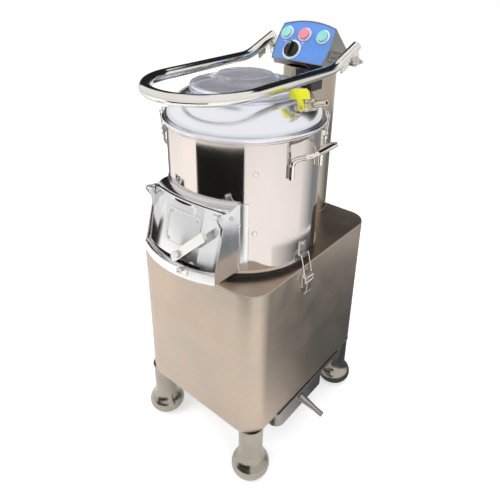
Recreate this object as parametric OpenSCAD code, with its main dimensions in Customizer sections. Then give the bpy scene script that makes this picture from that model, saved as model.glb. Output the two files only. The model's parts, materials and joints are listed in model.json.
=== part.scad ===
// Electric potato peeler: floor-standing batch machine with a lift-over guard bar.
// Millimetres, +Z up, front towards -Y. The origin is on the floor, under the
// middle of the machine's plan. The modules work about the drum's axis.

/* [Cabinet] */
// Width of the cabinet, side to side
cab_w = 390; // [330:1:480]
// Height of the cabinet without its feet
cab_h = 413; // [380:1:520]
// Radius of the cabinet's upright corners
cab_corner = 53; // [30:1:60]
// Thickness of the cabinet's sheet
cab_wall = 2; // [1.5:0.5:4]
// Floor to the underside of the cabinet
leg_h = 162; // [135:1:200]
// Cabinet edge in front of the drum
front_margin = 10; // [6:1:40]
// How far the column stands out past the cabinet's back
col_proud = 20; // [8:1:24]

/* [Feet] */
// Radius of a leg tube
leg_r = 31; // [22:0.5:34]
// Radius of a foot's bulb
bulb_r = 49.5; // [42:0.5:54]
// Leg centre to the cabinet's side
leg_inset = 32; // [32:1:50]

/* [Drum] */
// Outer radius of the peeling drum
drum_r = 180; // [150:1:216]
// Height of the drum above its seal
drum_h = 310; // [260:1:380]
// Thickness of the drum's wall
drum_wall = 2; // [1.5:0.5:3]
// Thickness of the abrasive liner
liner_t = 5; // [3:0.5:8]
// Height of the black seal under the drum
seal_h = 15; // [8:1:25]

/* [Lid] */
// Rise of the lid's domed shoulder
dome_h = 64; // [50:1:70]
// Radius of the clear cover
cover_r = 125; // [100:1:125]
// Radius of the clear cover's raised crown
crown_r = 64; // [40:1:70]

/* [Outlet] */
// Half the width of the outlet chute
chute_w = 112; // [84:1:114]
// Drum axis to the chute's front lip
chute_reach = 250; // [246:1:275]
// Lean of the outlet door from upright, in degrees
door_tilt = 14.4; // [10:0.1:18]

/* [Column and controls] */
// Outer radius of the column
col_r = 70; // [56:1:80]
// Width of the control head
head_w = 150; // [140:1:200]
// Height of the control panel along its slope
panel_h = 98; // [92:1:130]
// Lean of the control panel from upright, in degrees
panel_tilt = 33; // [25:1:40]
// Radius of a push button's cap
button_r = 14.5; // [10:0.5:15]
// Radius of the timer's knob
knob_r = 20.5; // [14:0.5:22]

/* [Guard bar] */
// Outer radius of the guard bar's tube
bar_r = 12.5; // [9:0.5:14]
// Bar's centre line to the machine's middle plane
bar_half = 128; // [124:1:150]

/* [Waste tray] */
// Width of the waste tray, front to back
tray_w = 300; // [240:1:306]
// Depth of the waste tray
tray_depth = 78; // [60:1:90]
// Radius of the drain spout's tip
spout_r = 7; // [5:0.5:9]

/* [Hidden] */
$fn = 64;

// Clearances
fit = 0.05;
gap = 0.3;
pin_over = 3;

// Levels
cab_top = leg_h + cab_h;
drum_z = cab_top + seal_h;
drum_top = drum_z + drum_h;

// Lid and rims
bead_r = 4.5;
rim_r = drum_r + 6;
lid_z = drum_top + 3.6;
dome_r = rim_r - 7;
dome_in = 95;
lid_t = 1.5;
lid_hole = cover_r - 10;
wire_r = 1.4;

// Plan of the cabinet
col_gap = 1.5;
col_y = rim_r + bead_r + col_gap + col_r - 0.5;
cab_front = -drum_r - front_margin;
cab_back = col_y + col_r - col_proud;
col_sunk = 12;
cab_d = cab_back - cab_front;
cab_y = (cab_back + cab_front) / 2;
leg_x = cab_w / 2 - leg_inset;
leg_front = cab_front + leg_inset + 4;
leg_back = cab_back - leg_inset - 16;

// Feet: the bulb's radius, its centre, and the fairing up into the tube
blob = 27;
blob_x = bulb_r - blob;
blob_z = 25;
fair = 40;
fair_x = leg_r + fair;
fair_z = blob_z + sqrt(pow(blob + fair, 2) - pow(fair_x - blob_x, 2));
foot_top = fair_z + 3;

// Handles and drain spout set the width of the plan
handle_x = drum_r + 42;
handle_y = 46;
handle_rod = 6;
handle_reach = handle_x + handle_rod;
spout_out = cab_w / 2 + 70;
gland_reach = 24;
gland_x = 100;
cover_z = leg_h + 60;
cover_h = cab_h - 120;
catch_ball = 7;
catch_neck = 3;
lip_t = 2;
front_reach = chute_reach + catch_neck + 2 * catch_ball - 1;
plan_x = (spout_out - handle_reach) / 2;
plan_y = (cab_back + gland_reach - front_reach) / 2;

// Drive
shaft_r = 15;
shaft_low = leg_h + 150;
disc_z = drum_z + 24;
disc_r = drum_r - drum_wall - liner_t - 4;
disc_t = 12;
pulley_r = 100;
motor_pulley_r = 27;
pulley_z = shaft_low + 12;
pulley_t = 22;
motor_y = 196;
motor_r = 60;
motor_z = pulley_z + pulley_t + 26;
motor_h = 165;
motor_shaft_r = 9.5;
outlet_x = -121;
outlet_y = 70;
outlet_r = 18;

// Outlet chute
door_z = drum_z + 38;
door_y = -chute_reach + 14;
bow_r = 300;
door_t = 2;
door_half = chute_w - 4;
bow_drop = bow_r - sqrt(bow_r * bow_r - door_half * door_half);
hinge_v = 128;
hinge_y = door_y + hinge_v * sin(door_tilt);
hinge_z = door_z + hinge_v * cos(door_tilt);
hinge_tube = 5.5;
chute_low = drum_z + 9;
floor_z = drum_z + 32;
chute_top = hinge_z + 9;
roof_bend = 31;
roof_x = drum_r + 7;
plate_mid = 14;
plate_half = 46;
plate_low = 33;
plate_high = 111;
lever_x = 23;
lever_v = 20;
lever_turn = 44;
lever_len = 140;
lever_w = 21;
lever_out = 12;
catch_x = 40;

// Column and control head
panel_y = col_y - 64;
panel_z = drum_top + 97;
panel_up = panel_h * cos(panel_tilt);
panel_back = panel_h * sin(panel_tilt);
head_low = panel_z - 14;
head_back = col_y + col_r + 2;
head_wall = 2;
switch_x = 38;
plate_t = 2.5;
button_row = 70;
button_pitch = 54;
button_shift = -3;
press = 4;
stem_r = 8;
knob_x = -26;
knob_up = 27;

// Guard bar: lengths are along the bar's own plane, from its pivot
bar_slope = 1.2;
pivot_y = col_y + 3;
pivot_z = panel_z + 9;
pivot_r = 6;
bar_front = pivot_y + drum_r + 66;
bar_low = 4;
bar_bend = pivot_y - 135;
bar_tail = 38;
bend_r = 140;
climb = 21;
lug_t = 6;

// Toggle latches: hinge, pin and wire positions from the wall they are on
latch_z = cab_top - 35;
latch_hx = 11;
latch_up = 10;
latch_arm = 14;
latch_tx = drum_r + 9;
latch_tz = drum_z + 14;
clip_angle = 38;
clip_z = lid_z - 48;
clip_hx = 9;
clip_up = 10;
clip_arm = 10;
clip_tx = rim_r - 2.5;
clip_tz = lid_z + 6.5;

// Tray
tray_y = 62;
trough_y = tray_y - 20;
tray_top = leg_h - 4;
tray_side = cab_w / 2 + 4;
tray_left = -150;
flange_w = 12;
side_flange = 38;
tray_t = 1.5;
spout_tilt = 13;
spout_base = 11.5;
spout_z = tray_top - 30;
spout_y = 25;
spout_root = tray_side - flange_w - 3;

// Valve on the lid
valve_angle = -4;
valve_r = rim_r - 10;
valve_z = lid_z + 56;
valve_tilt = 18;
inlet_r = 6;
inlet_len = 45;

module machine() translate([-plan_x, -plan_y, 0]) children();

module around(angle, r = 0) rotate([0, 0, angle]) translate([r, 0, 0]) children();

module sides() for (s = [0, 1]) mirror([s, 0, 0]) children();

module rod(p, q, r) {
  v = q - p;
  len = norm(v);
  translate(p) rotate([0, acos(v[2] / len), atan2(v[1], v[0])]) cylinder(h = len, r = r);
}

// The knees are a touch fatter than the rod, as bent wire is
module bent_rod(points, r) {
  for (i = [0 : len(points) - 2]) rod(points[i], points[i + 1], r);
  for (i = [1 : len(points) - 2]) translate(points[i]) sphere(r * 1.03);
}

function toward(p, q, d) = p + (q - p) * d / norm(q - p);

// Points of a rod's path with a curve at each knee, from d before it to d after it
function eased(points, d, steps = 2) = concat([points[0]],
  [for (i = [1 : len(points) - 2], k = [0 : steps]) let (t = k / steps)
    pow(1 - t, 2) * toward(points[i], points[i - 1], d) + 2 * t * (1 - t) * points[i]
      + t * t * toward(points[i], points[i + 1], d)],
  [points[len(points) - 1]]);

// Cuts a round body out of whatever stands against it
module round_cut(r) cylinder(h = 2000, r = r, $fn = 360);

module ring(r_out, r_in, h) difference() {
  cylinder(h = h, r = r_out);
  translate([0, 0, -1]) cylinder(h = h + 2, r = r_in);
}

// Extrudes a flat shape drawn in Y and Z along X, centred on the middle plane
module side_extrude(width) rotate([90, 0, 90]) translate([0, 0, -width / 2])
  linear_extrude(width) children();

module round_rect(w, d, r) {
  square([w - 2 * r, d], center = true);
  square([w, d - 2 * r], center = true);
  for (x = [-1, 1], y = [-1, 1])
    translate([x * (w / 2 - r), y * (d / 2 - r)]) circle(r);
}

// Everything outside a folded sheet edge of radius r that runs along X
module fold_cut(length, r) translate([-length / 2, 0, 0]) rotate([90, 0, 90]) linear_extrude(length)
  difference() {
    translate([-r, -r]) square([2 * r, 2 * r]);
    translate([-r, -r]) circle(r);
  }

// A box with rounded upright corners and a small fold radius round its top
module folded_box(w, d, h, r, fold) difference() {
  linear_extrude(h) round_rect(w, d, r);
  for (x = [-1, 1], y = [-1, 1]) translate([x * (w / 2 - r), y * (d / 2 - r), h]) intersection() {
    rotate_extrude() translate([r, 0]) difference() {
      translate([-fold, -fold]) square([2 * fold, 2 * fold]);
      translate([-fold, -fold]) circle(fold);
    }
    translate([x > 0 ? 0 : -r - fold, y > 0 ? 0 : -r - fold, -fold - 1]) cube([r + fold, r + fold, 2 * fold + 2]);
  }
  for (a = [0, 180]) rotate([0, 0, a]) {
    translate([0, d / 2, h]) fold_cut(w - 2 * r, fold);
    rotate([0, 0, -90]) translate([0, w / 2, h]) fold_cut(d - 2 * r, fold);
  }
}

module legs() for (x = [-leg_x, leg_x], y = [leg_front, leg_back]) translate([x, y, 0]) children();

// ---- Cabinet ----

module cabinet_shell() machine() color("tan") difference() {
  fold = 3;
  translate([0, cab_y, leg_h]) folded_box(cab_w, cab_d, cab_h, cab_corner, fold);
  translate([0, cab_y, leg_h - 1])
    linear_extrude(cab_h + 1 - cab_wall)
      round_rect(cab_w - 2 * cab_wall, cab_d - 2 * cab_wall, cab_corner - cab_wall);
  translate([0, 0, cab_top - 10]) cylinder(h = 20, r = 30);
  translate([outlet_x, outlet_y, cab_top - 10]) cylinder(h = 20, r = outlet_r);
  translate([0, col_y, cab_top - col_sunk]) cylinder(h = 2 * col_sunk, r = col_r + 0.1);
  translate([-115, cab_back - 10, cover_z + 15]) cube([230, 20, cover_h - 30]);
  at_gland() translate([0, 0, -10]) cylinder(h = 20, r = 8);
}

module at_gland() translate([-gland_x, cab_back, leg_h + 42]) rotate([-90, 0, 0]) children();

module base_frame() machine() color("silver") {
  tube = 25;
  rail = 24;
  inner_w = cab_w - 2 * cab_wall;
  inner_d = cab_d - 2 * cab_wall;
  // Rounder than the sheet's corners, so that it bears on the flats alone
  corner = cab_corner - cab_wall + 4;
  translate([0, cab_y, leg_h]) linear_extrude(tube) difference() {
    round_rect(inner_w, inner_d, corner);
    round_rect(inner_w - 2 * tube, inner_d - 2 * tube, corner - tube);
  }
  // Sockets for the leg tubes, trimmed to the frame's outline
  intersection() {
    legs() translate([0, 0, leg_h]) cylinder(h = 8, r = leg_r - 2);
    translate([0, cab_y, leg_h]) linear_extrude(tube) round_rect(inner_w, inner_d, corner);
  }
  // Runners that carry the waste tray by its flanges
  for (s = [0, 1]) translate([0, tray_y, 0]) mirror([0, s, 0]) {
    edge_y = tray_w / 2 + gap;
    run = tray_side - tray_left - 25;
    translate([tray_left, edge_y - 8, leg_h]) cube([run, rail, tube]);
    translate([tray_left, edge_y, tray_top - 4.3]) cube([run, 2, leg_h - tray_top + 4.4]);
    translate([tray_left, edge_y - 8, tray_top - 4.3]) cube([run, 10, 2]);
  }
  for (x = [-1, 1]) translate([x > 0 ? cab_w / 2 - 26 : -cab_w / 2 + 2, tray_y - tray_w / 2 - 16, leg_h])
    cube([24, tray_w + 32, tube]);
}

module leg_tubes() machine() color("gray") legs() translate([0, 0, foot_top])
  ring(leg_r, leg_r - 2, leg_h - foot_top);

// One spun foot: a bulb on a flat sole, faired into the tube above it
module bell_foot() rotate_extrude() difference() {
  union() {
    translate([blob_x, blob_z]) circle(blob);
    square([blob_x, blob_z + blob]);
    square([leg_r, foot_top]);
    polygon([[0, blob_z], [blob_x, blob_z], [fair_x, fair_z], [0, fair_z]]);
  }
  translate([fair_x, fair_z]) circle(fair);
  translate([-100, -10]) square([100, 200]);
  translate([0, -50]) square([100, 50]);
}

module bell_feet() machine() color("gray") legs() bell_foot();

module rear_cover() machine() color("silver") translate([0, cab_back, cover_z]) {
  w = 260;
  h = cover_h;
  rows = 7;
  difference() {
    translate([-w / 2, 0, 0]) cube([w, 2, h]);
    for (i = [0 : rows - 1], s = [-1, 1]) translate([s * 58 - 40, -1, 50 + i * 30]) cube([80, 4, 8]);
    for (x = [-1, 1], z = [10, h / 2, h - 10]) translate([x * (w / 2 - 8), -1, z])
      rotate([-90, 0, 0]) cylinder(h = 4, r = 2.1);
  }
  for (i = [0 : rows - 1], s = [-1, 1]) translate([s * 58 - 41, 2, 50 + i * 30]) rotate([-30, 0, 0])
    translate([0, -1, -2]) cube([82, 1.5, 11]);
}

module cover_screws() machine() color("silver") translate([0, cab_back + 2, cover_z])
  for (x = [-122, 122], z = [10, cover_h / 2, cover_h - 10]) translate([x, 0, z]) rotate([-90, 0, 0])
    difference() {
      cylinder(h = 2.6, r1 = 4.5, r2 = 3.4);
      translate([-4, -0.5, 1.6]) cube([8, 1, 2]);
    }

module cable_gland() machine() color("dimgray")
  at_gland() difference() {
    union() {
      translate([0, 0, -14]) cylinder(h = 14, r = 7.9);
      cylinder(h = 7, r = 13, $fn = 6);
      translate([0, 0, 7]) cylinder(h = 6, r = 10);
      translate([0, 0, 13]) cylinder(h = gland_reach - 13, r1 = 11, r2 = 8.5);
    }
    translate([0, 0, -20]) cylinder(h = gland_reach + 40, r = 5);
  }

// ---- Waste tray ----

module tray_inside() {
  w = tray_side - tray_left - 2 * flange_w - 2 * tray_t;
  translate([(tray_side + tray_left) / 2, trough_y, tray_top - tray_depth + tray_t])
    linear_extrude(tray_depth + 10) round_rect(w, tray_w - 2 * side_flange - 2 * tray_t, 25 - tray_t);
}

module drain_tray() machine() color("silver") {
  w = tray_side - tray_left;
  mid = (tray_side + tray_left) / 2;
  difference() {
    union() {
      translate([mid, tray_y, tray_top - 2]) linear_extrude(2) round_rect(w, tray_w, 6);
      // Turned-down lip along the tray's front flange
      translate([tray_side - 2, tray_y - tray_w / 2 + 6, tray_top - 7]) cube([2, tray_w - 12, 6]);
      translate([mid, trough_y, tray_top - tray_depth]) linear_extrude(tray_depth)
        round_rect(w - 2 * flange_w, tray_w - 2 * side_flange, 25);
    }
    tray_inside();
    spout_axis() translate([0, 0, -10]) cylinder(h = 30, r = spout_r - 1.5);
  }
  difference() {
    spout_axis() drain_spout();
    tray_inside();
    spout_axis() translate([0, 0, -20]) cylinder(h = 140, r = spout_r - 1.5);
  }
}

module spout_axis() translate([spout_root, spout_y, spout_z])
  rotate([0, 90 + spout_tilt, 0]) children();

module drain_spout() {
  tip = (spout_out - spout_root - spout_r * sin(spout_tilt)) / cos(spout_tilt);
  nose = 24;
  collar = 10;
  cylinder(h = collar, r = spout_base + 2);
  translate([0, 0, collar]) cylinder(h = tip - nose - collar, r1 = spout_base, r2 = spout_r);
  translate([0, 0, tip - nose]) cylinder(h = nose, r = spout_r);
}

// ---- Drum base and drive ----

module drum_base() machine() color("silver") {
  pan_r = drum_r - 18;
  difference() {
    union() {
      translate([0, 0, cab_top]) cylinder(h = 3, r = pan_r);
      translate([0, 0, cab_top]) ring(pan_r, pan_r - 2, seal_h + 4);
      translate([0, 0, cab_top]) cylinder(h = 30, r = 30);
    }
    translate([0, 0, cab_top - 1]) cylinder(h = 40, r = 26);
    translate([outlet_x, outlet_y, cab_top - 1]) cylinder(h = 10, r = outlet_r - 2);
  }
  translate([outlet_x, outlet_y, tray_top + 2]) ring(outlet_r, outlet_r - 2, cab_top - tray_top - 1.5);
}

module seal_ring() machine() color("#1b1b1d") translate([0, 0, cab_top])
  rotate_extrude() difference() {
    translate([drum_r - 15, 0]) square([14, seal_h]);
    for (z = [seal_h / 3, seal_h * 2 / 3]) translate([drum_r - 0.2, z]) circle(1.6);
  }

module bearing_housing() machine() color("slategray") difference() {
  union() {
    translate([0, 0, cab_top - cab_wall - 8]) cylinder(h = 8, r = 62);
    translate([0, 0, cab_top - 104]) cylinder(h = 100, r = 38);
  }
  translate([0, 0, cab_top - 105]) cylinder(h = 120, r = 26);
  translate([0, 0, cab_top - 105]) cylinder(h = 22, r = 31);
  translate([0, 0, cab_top - 24]) cylinder(h = 40, r = 31);
  for (i = [0 : 3]) around(45 + 90 * i, 50) translate([0, 0, cab_top - 20]) cylinder(h = 40, r = 4.2);
}

module shaft_bearings() machine() color("lightgray")
  for (z = [cab_top - 100, cab_top - 24]) translate([0, 0, z]) ring(31, shaft_r + fit, 16);

module shaft_seal() machine() color("#1b1b1d") translate([0, 0, cab_top + 18])
  ring(26, shaft_r + fit, 9);

module main_shaft() machine() color("lightgray") translate([0, 0, shaft_low])
  cylinder(h = disc_z + disc_t + 22 - shaft_low, r = shaft_r);

// A dished grinding disc with three raised waves that tumble the load
module abrasive_disc() machine() color("#6b5f4a") translate([0, 0, disc_z]) difference() {
  union() {
    cylinder(h = disc_t, r = disc_r);
    rotate_extrude() translate([disc_r - 8, disc_t]) difference() {
      square([8, 5]);
      translate([0, 5]) circle(5);
    }
    cylinder(h = disc_t + 8, r1 = 46, r2 = 32);
    for (i = [0 : 2]) intersection() {
      around(120 * i + 20) translate([28, 0, disc_t - 62]) rotate([0, 90, 0]) cylinder(h = disc_r - 30, r = 76);
      cylinder(h = 60, r = disc_r - 12);
      around(120 * i + 20) translate([28, -60, 0]) cube([disc_r, 120, 60]);
    }
    for (i = [0 : 2]) around(120 * i + 80) translate([56, -3, -12]) cube([disc_r - 70, 6, 13]);
  }
  translate([0, 0, -20]) cylinder(h = 80, r = shaft_r + 0.02);
}

module disc_nut() machine() color("lightgray") translate([0, 0, disc_z + disc_t + 8]) difference() {
  union() {
    cylinder(h = 3, r = 26);
    translate([0, 0, 3]) cylinder(h = 13, r = 22, $fn = 6);
    translate([0, 0, 14]) intersection() {
      sphere(18);
      cylinder(h = 20, r = 18);
    }
  }
  translate([0, 0, -1]) cylinder(h = 15.2, r = shaft_r + 0.02);
}

module grooved_pulley(r, bore, hub_r) difference() {
  union() {
    cylinder(h = pulley_t, r = r);
    translate([0, 0, -10]) cylinder(h = pulley_t + 20, r = hub_r);
  }
  rotate_extrude() polygon([[r - 11, pulley_t / 2 - 3.6], [r + 2, pulley_t / 2 - 8.4],
    [r + 2, pulley_t / 2 + 8.4], [r - 11, pulley_t / 2 + 3.6]]);
  translate([0, 0, -20]) cylinder(h = pulley_t + 40, r = bore);
}

module large_pulley() machine() color("slategray") translate([0, 0, pulley_z]) difference() {
  grooved_pulley(pulley_r, shaft_r + 0.02, 28);
  for (i = [0 : 4]) around(72 * i, 58) translate([0, 0, -1]) cylinder(h = pulley_t + 2, r = 18);
}

module small_pulley() machine() color("slategray") translate([0, motor_y, pulley_z])
  grooved_pulley(motor_pulley_r, motor_shaft_r + 0.02, 16);

module motor_shaft() machine() color("lightgray") translate([0, motor_y, pulley_z - 14])
  cylinder(h = motor_z - pulley_z + 40, r = motor_shaft_r);

module motor() machine() color("steelblue") translate([0, motor_y, motor_z]) difference() {
  union() {
    cylinder(h = 10, r = motor_r + 4);
    translate([0, 0, 10]) cylinder(h = motor_h - 45, r = motor_r - 6);
    translate([0, 0, motor_h - 35]) cylinder(h = 35, r = motor_r);
    for (i = [0 : 17]) around(20 * i) translate([motor_r - 10, -1.2, 10]) cube([9, 2.4, motor_h - 45]);
    translate([motor_r - 12, -28, 45]) cube([26, 56, 60]);
  }
  translate([0, 0, -1]) cylinder(h = 30, r = motor_shaft_r + fit);
}

module motor_plate() machine() color("silver") {
  inner = cab_w - 2 * cab_wall;
  depth = 124;
  z = motor_z - 6;
  front = cab_back - cab_corner - 2 - depth;
  difference() {
    translate([-inner / 2, front, z]) cube([inner, depth, 6]);
    translate([0, motor_y, z - 1]) cylinder(h = 8, r = 30);
  }
  for (s = [-1, 1]) translate([s > 0 ? inner / 2 - 3 : -inner / 2, front, z + 6]) cube([3, depth, 30]);
}

// The belt runs on both pulleys and along their two common tangents
module belt_outline(extra) {
  lean = asin((pulley_r - motor_pulley_r) / motor_y);
  big = pulley_r - 10.6 + extra;
  small = motor_pulley_r - 10.6 + extra;
  circle(big);
  translate([0, motor_y]) circle(small);
  polygon([[big * cos(lean), big * sin(lean)], [small * cos(lean), motor_y + small * sin(lean)],
    [-small * cos(lean), motor_y + small * sin(lean)], [-big * cos(lean), big * sin(lean)]]);
}

module drive_belt() machine() color("#222222")
  translate([0, 0, pulley_z + pulley_t / 2 - 3]) linear_extrude(6) difference() {
    belt_outline(8);
    belt_outline(0);
  }

module electrical_box() machine() color("gray") {
  x = cab_w / 2 - cab_wall - 62;
  translate([x, -90, leg_h + 230]) cube([62, 130, 110]);
}

// ---- Column and control head ----

// The column is let into the cabinet's rear edge, and a weld runs round it on the top
module column() machine() color("#a3917c") translate([0, col_y, cab_top]) {
  weld = 3;
  translate([0, 0, -col_sunk]) ring(col_r, col_r - 2, head_low - cab_top + col_sunk);
  translate([0, 0, -col_sunk]) ring(col_r - 1, 20, 3);
  difference() {
    rotate_extrude() translate([col_r - 0.5, 0]) difference() {
      square([weld + 0.5, weld]);
      translate([weld + 0.5, weld]) circle(weld);
    }
    translate([-200, col_r - col_proud - 5, -1]) cube([400, 200, weld + 2]);
  }
}

module head_outline(inset) {
  base_y = panel_y + inset;
  polygon([[base_y + 5, head_low + inset], [base_y, panel_z + inset],
    [panel_y + panel_back + inset / 2, panel_z + panel_up - inset * 1.3],
    [head_back - inset, pivot_z - 4 - inset], [head_back - inset, head_low + inset]]);
}

module control_box() machine() color("silver") {
  difference() {
    side_extrude(head_w) head_outline(0);
    side_extrude(head_w - 2 * head_wall) head_outline(head_wall);
    panel_frame() translate([0, 0, -20]) linear_extrude(40) panel_shape(-8);
    translate([0, col_y, head_low - 1]) cylinder(h = 10, r = col_r - 12);
  }
  // Shallow tray with a raised rim that the panel lies in
  panel_frame() difference() {
    translate([0, 0, -head_wall]) linear_extrude(head_wall + plate_t + 1) panel_shape(2.5);
    linear_extrude(plate_t + 2) panel_shape(0);
    translate([0, 0, -20]) linear_extrude(40) panel_shape(-8);
  }
}

// Moves to the panel's lower edge: X across, Y up the slope, Z out of the face
module panel_frame() translate([0, panel_y, panel_z]) rotate([90 - panel_tilt, 0, 0]) children();

// The panel has bowed sides and a low arch along its top
module panel_shape(grow) {
  half = head_w / 2 + 5 + grow;
  side_r = 240;
  arch_r = 240;
  intersection() {
    translate([-half, -grow]) square([2 * half, panel_h + 8 + 2 * grow]);
    translate([half - side_r, panel_h / 2]) circle(side_r, $fn = 240);
    translate([side_r - half, panel_h / 2]) circle(side_r, $fn = 240);
    translate([0, panel_h + 8 + grow - arch_r]) circle(arch_r, $fn = 240);
  }
}

module at_buttons() for (i = [-1 : 1])
  translate([i * button_pitch + button_shift, button_row, 0]) children();

module at_knob() translate([knob_x, knob_up, 0]) children();

module control_panel() machine() color("#3f7fd6") panel_frame() difference() {
  linear_extrude(plate_t) panel_shape(-0.2);
  at_buttons() translate([0, 0, -1]) cylinder(h = 10, r = stem_r + 0.4);
  at_knob() translate([0, 0, -1]) cylinder(h = 10, r = 6);
}

module panel_rings() machine() color("white") panel_frame() translate([0, 0, plate_t]) {
  at_buttons() difference() {
    rotate_extrude() difference() {
      square([button_r + 3.5, 5]);
      translate([button_r + 3.5, 5]) circle(2);
    }
    translate([0, 0, -1]) cylinder(h = 10, r = button_r + gap);
  }
  at_knob() difference() {
    cylinder(h = 1.2, r = knob_r + 5.5);
    translate([0, 0, -1]) cylinder(h = 10, r = 6);
  }
}

module push_button(index) panel_frame()
  translate([index * button_pitch + button_shift, button_row, plate_t]) {
    translate([0, 0, press + 0.5]) cylinder(h = 3.5, r = button_r);
    translate([0, 0, press + 4]) cylinder(h = 1.5, r1 = button_r, r2 = button_r - 1.5);
    translate([0, 0, -12]) cylinder(h = 13 + press, r = stem_r);
  }

module start_button() machine() color("#9fd8c8") push_button(-1);

module stop_button() machine() color("#e58a86") push_button(0);

module jog_button() machine() color("#9fd8c8") push_button(1);

module switch_blocks() machine() color("#d0d0c8") panel_frame() {
  at_buttons() difference() {
    translate([-12, -12, -42]) cube([24, 24, 42]);
    translate([0, 0, -18]) cylinder(h = 40, r = stem_r + 0.4);
  }
  at_knob() difference() {
    translate([-20, -14, -34]) cube([40, 32, 34]);
    translate([0, 0, -24]) cylinder(h = 40, r = 5.6);
  }
}

module timer_knob() machine() color("#1b1b1d") panel_frame() at_knob() {
  translate([0, 0, plate_t + 1.5]) difference() {
    cylinder(h = 5, r = knob_r);
    for (i = [0 : 23]) around(15 * i, knob_r + 0.6) translate([0, 0, -1]) cylinder(h = 8, r = 1.4);
  }
  translate([0, 0, plate_t + 6.5]) cylinder(h = 3, r1 = knob_r - 2, r2 = knob_r - 4);
  translate([-3.5, -knob_r + 3, plate_t + 6]) cube([7, 2 * knob_r - 6, 11]);
  translate([0, 0, -20]) cylinder(h = 22 + plate_t, r = 5.5);
}

module guard_switch() machine() color("#1b1b1d") difference() {
  translate([switch_x - 24, panel_y - 22, head_low - 50]) cube([48, 50, 50]);
  translate([0, col_y, 0]) round_cut(col_r + gap);
  for (x = [-11, 11]) translate([switch_x + x, panel_y - 23, head_low - 15]) rotate([-90, 0, 0]) cylinder(h = 4, r = 4);
}

// ---- Guard bar ----

// The frame of the bar: its origin is on the pivot and its legs lie level in it
module bar_frame() translate([0, pivot_y, pivot_z]) rotate([bar_slope, 0, 0]) children();

module bar_pivots() machine() color("silver") translate([0, pivot_y, pivot_z]) sides() {
  inner = head_w / 2;
  outer = bar_half - lug_t / 2 - 0.4;
  translate([inner, 0, 0]) rotate([0, 90, 0]) cylinder(h = outer - inner, r = 14);
  translate([outer - 1, 0, 0]) rotate([0, 90, 0]) cylinder(h = lug_t + 3, r = pivot_r);
  translate([outer + lug_t + 0.8, 0, 0]) rotate([0, 90, 0]) {
    cylinder(h = 2, r = 11);
    translate([0, 0, 1.5]) cylinder(h = 6.5, r = 9.5, $fn = 6);
    translate([0, 0, 5]) cylinder(h = 12, r = 4);
  }
}

module guard_bar() machine() color("silver") bar_frame() difference() {
  loop_y = -bar_front + bar_half;
  knee_y = -bar_bend + bend_r * sin(climb);
  knee_z = -bar_low + bend_r * (1 - cos(climb));
  arm = (bar_bend - bend_r * sin(climb)) / cos(climb);
  union() {
    sides() {
      translate([0, loop_y, -bar_low]) rotate([0, 0, -90]) rotate_extrude(angle = 90)
        translate([bar_half, 0]) circle(bar_r);
      translate([bar_half, loop_y, -bar_low]) rotate([-90, 0, 0]) cylinder(h = bar_front - bar_half - bar_bend, r = bar_r);
      translate([bar_half, -bar_bend, -bar_low + bend_r]) rotate([0, 90, 0]) rotate_extrude(angle = climb)
        translate([bend_r, 0]) circle(bar_r);
      translate([bar_half, knee_y, knee_z]) {
        rotate([-90 + climb, 0, 0]) cylinder(h = arm, r = bar_r);
        sphere(bar_r + 0.1);
      }
      // Lug that carries the pivot, and the stop tab in front of it
      translate([bar_half - lug_t / 2, 0, 0]) rotate([90, 0, 90]) linear_extrude(lug_t) {
        circle(15);
        polygon([[-15, 0], [15, 0], [6, bar_tail], [-26, bar_tail - 12]]);
        polygon([[-70, 12], [-34, 24], [-36, -9], [-64, -19]]);
      }
    }
  }
  translate([-200, 0, 0]) rotate([0, 90, 0]) cylinder(h = 400, r = pivot_r + fit);
}

// ---- Drum ----

module outlet_cut() translate([-chute_w + 20, -drum_r - 20, floor_z + 18]) cube([2 * chute_w - 40, 120, 112]);

module bolt_places() for (a = [-42, 48, 138, 222], z = [100, 239]) around(a) translate([0, 0, drum_z + z]) children();

module drum_shell() machine() color("lightgray") difference() {
  union() {
    translate([0, 0, drum_z]) ring(drum_r, drum_r - drum_wall, drum_h - 4);
    translate([0, 0, drum_z]) ring(drum_r + 4, drum_r - drum_wall, 2);
    rotate_extrude() translate([drum_r + 1.5, drum_top - 4]) difference() {
      circle(4);
      translate([-12, -6]) square([8.5, 12]);
    }
  }
  outlet_cut();
  bolt_places() rotate([0, 90, 0]) cylinder(h = drum_r + 20, r = 3.1);
}

module abrasive_liner() machine() color("#5e5648") difference() {
  translate([0, 0, drum_z + 6])
    ring(drum_r - drum_wall - gap, drum_r - drum_wall - liner_t, drum_h - 45);
  outlet_cut();
  bolt_places() rotate([0, 90, 0]) cylinder(h = drum_r + 20, r = 3.1);
}

module liner_bolts() machine() color("silver") bolt_places() {
  shank = drum_wall + liner_t + 2;
  translate([drum_r - shank, 0, 0]) rotate([0, 90, 0]) cylinder(h = shank + 0.5, r = 3);
  translate([drum_r + 0.1, 0, 0]) rotate([0, 90, 0]) cylinder(h = 2.5, r1 = 6, r2 = 4);
}

module drum_handles() machine() color("silver") {
  wall_y = 55;
  wall_z = drum_top - 47;
  leg = 44;
  out_z = wall_z + 19;
  wall_x = sqrt(drum_r * drum_r - wall_y * wall_y) + handle_rod;
  sides() difference() {
    bent_rod(eased([[wall_x, -wall_y, wall_z - leg], [wall_x, -wall_y, wall_z], [handle_x, -handle_y, out_z],
      [handle_x, handle_y, out_z], [wall_x, wall_y, wall_z], [wall_x, wall_y, wall_z - leg]], 14), handle_rod);
    round_cut(drum_r);
  }
}

// ---- Outlet ----

module lip_sector(r_out, r_in, z0, z1) intersection() {
  translate([0, 0, z0]) ring(r_out, r_in, z1 - z0);
  translate([-chute_w, -r_out - 10, z0 - 1]) cube([2 * chute_w, 160, z1 - z0 + 2]);
}

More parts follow.
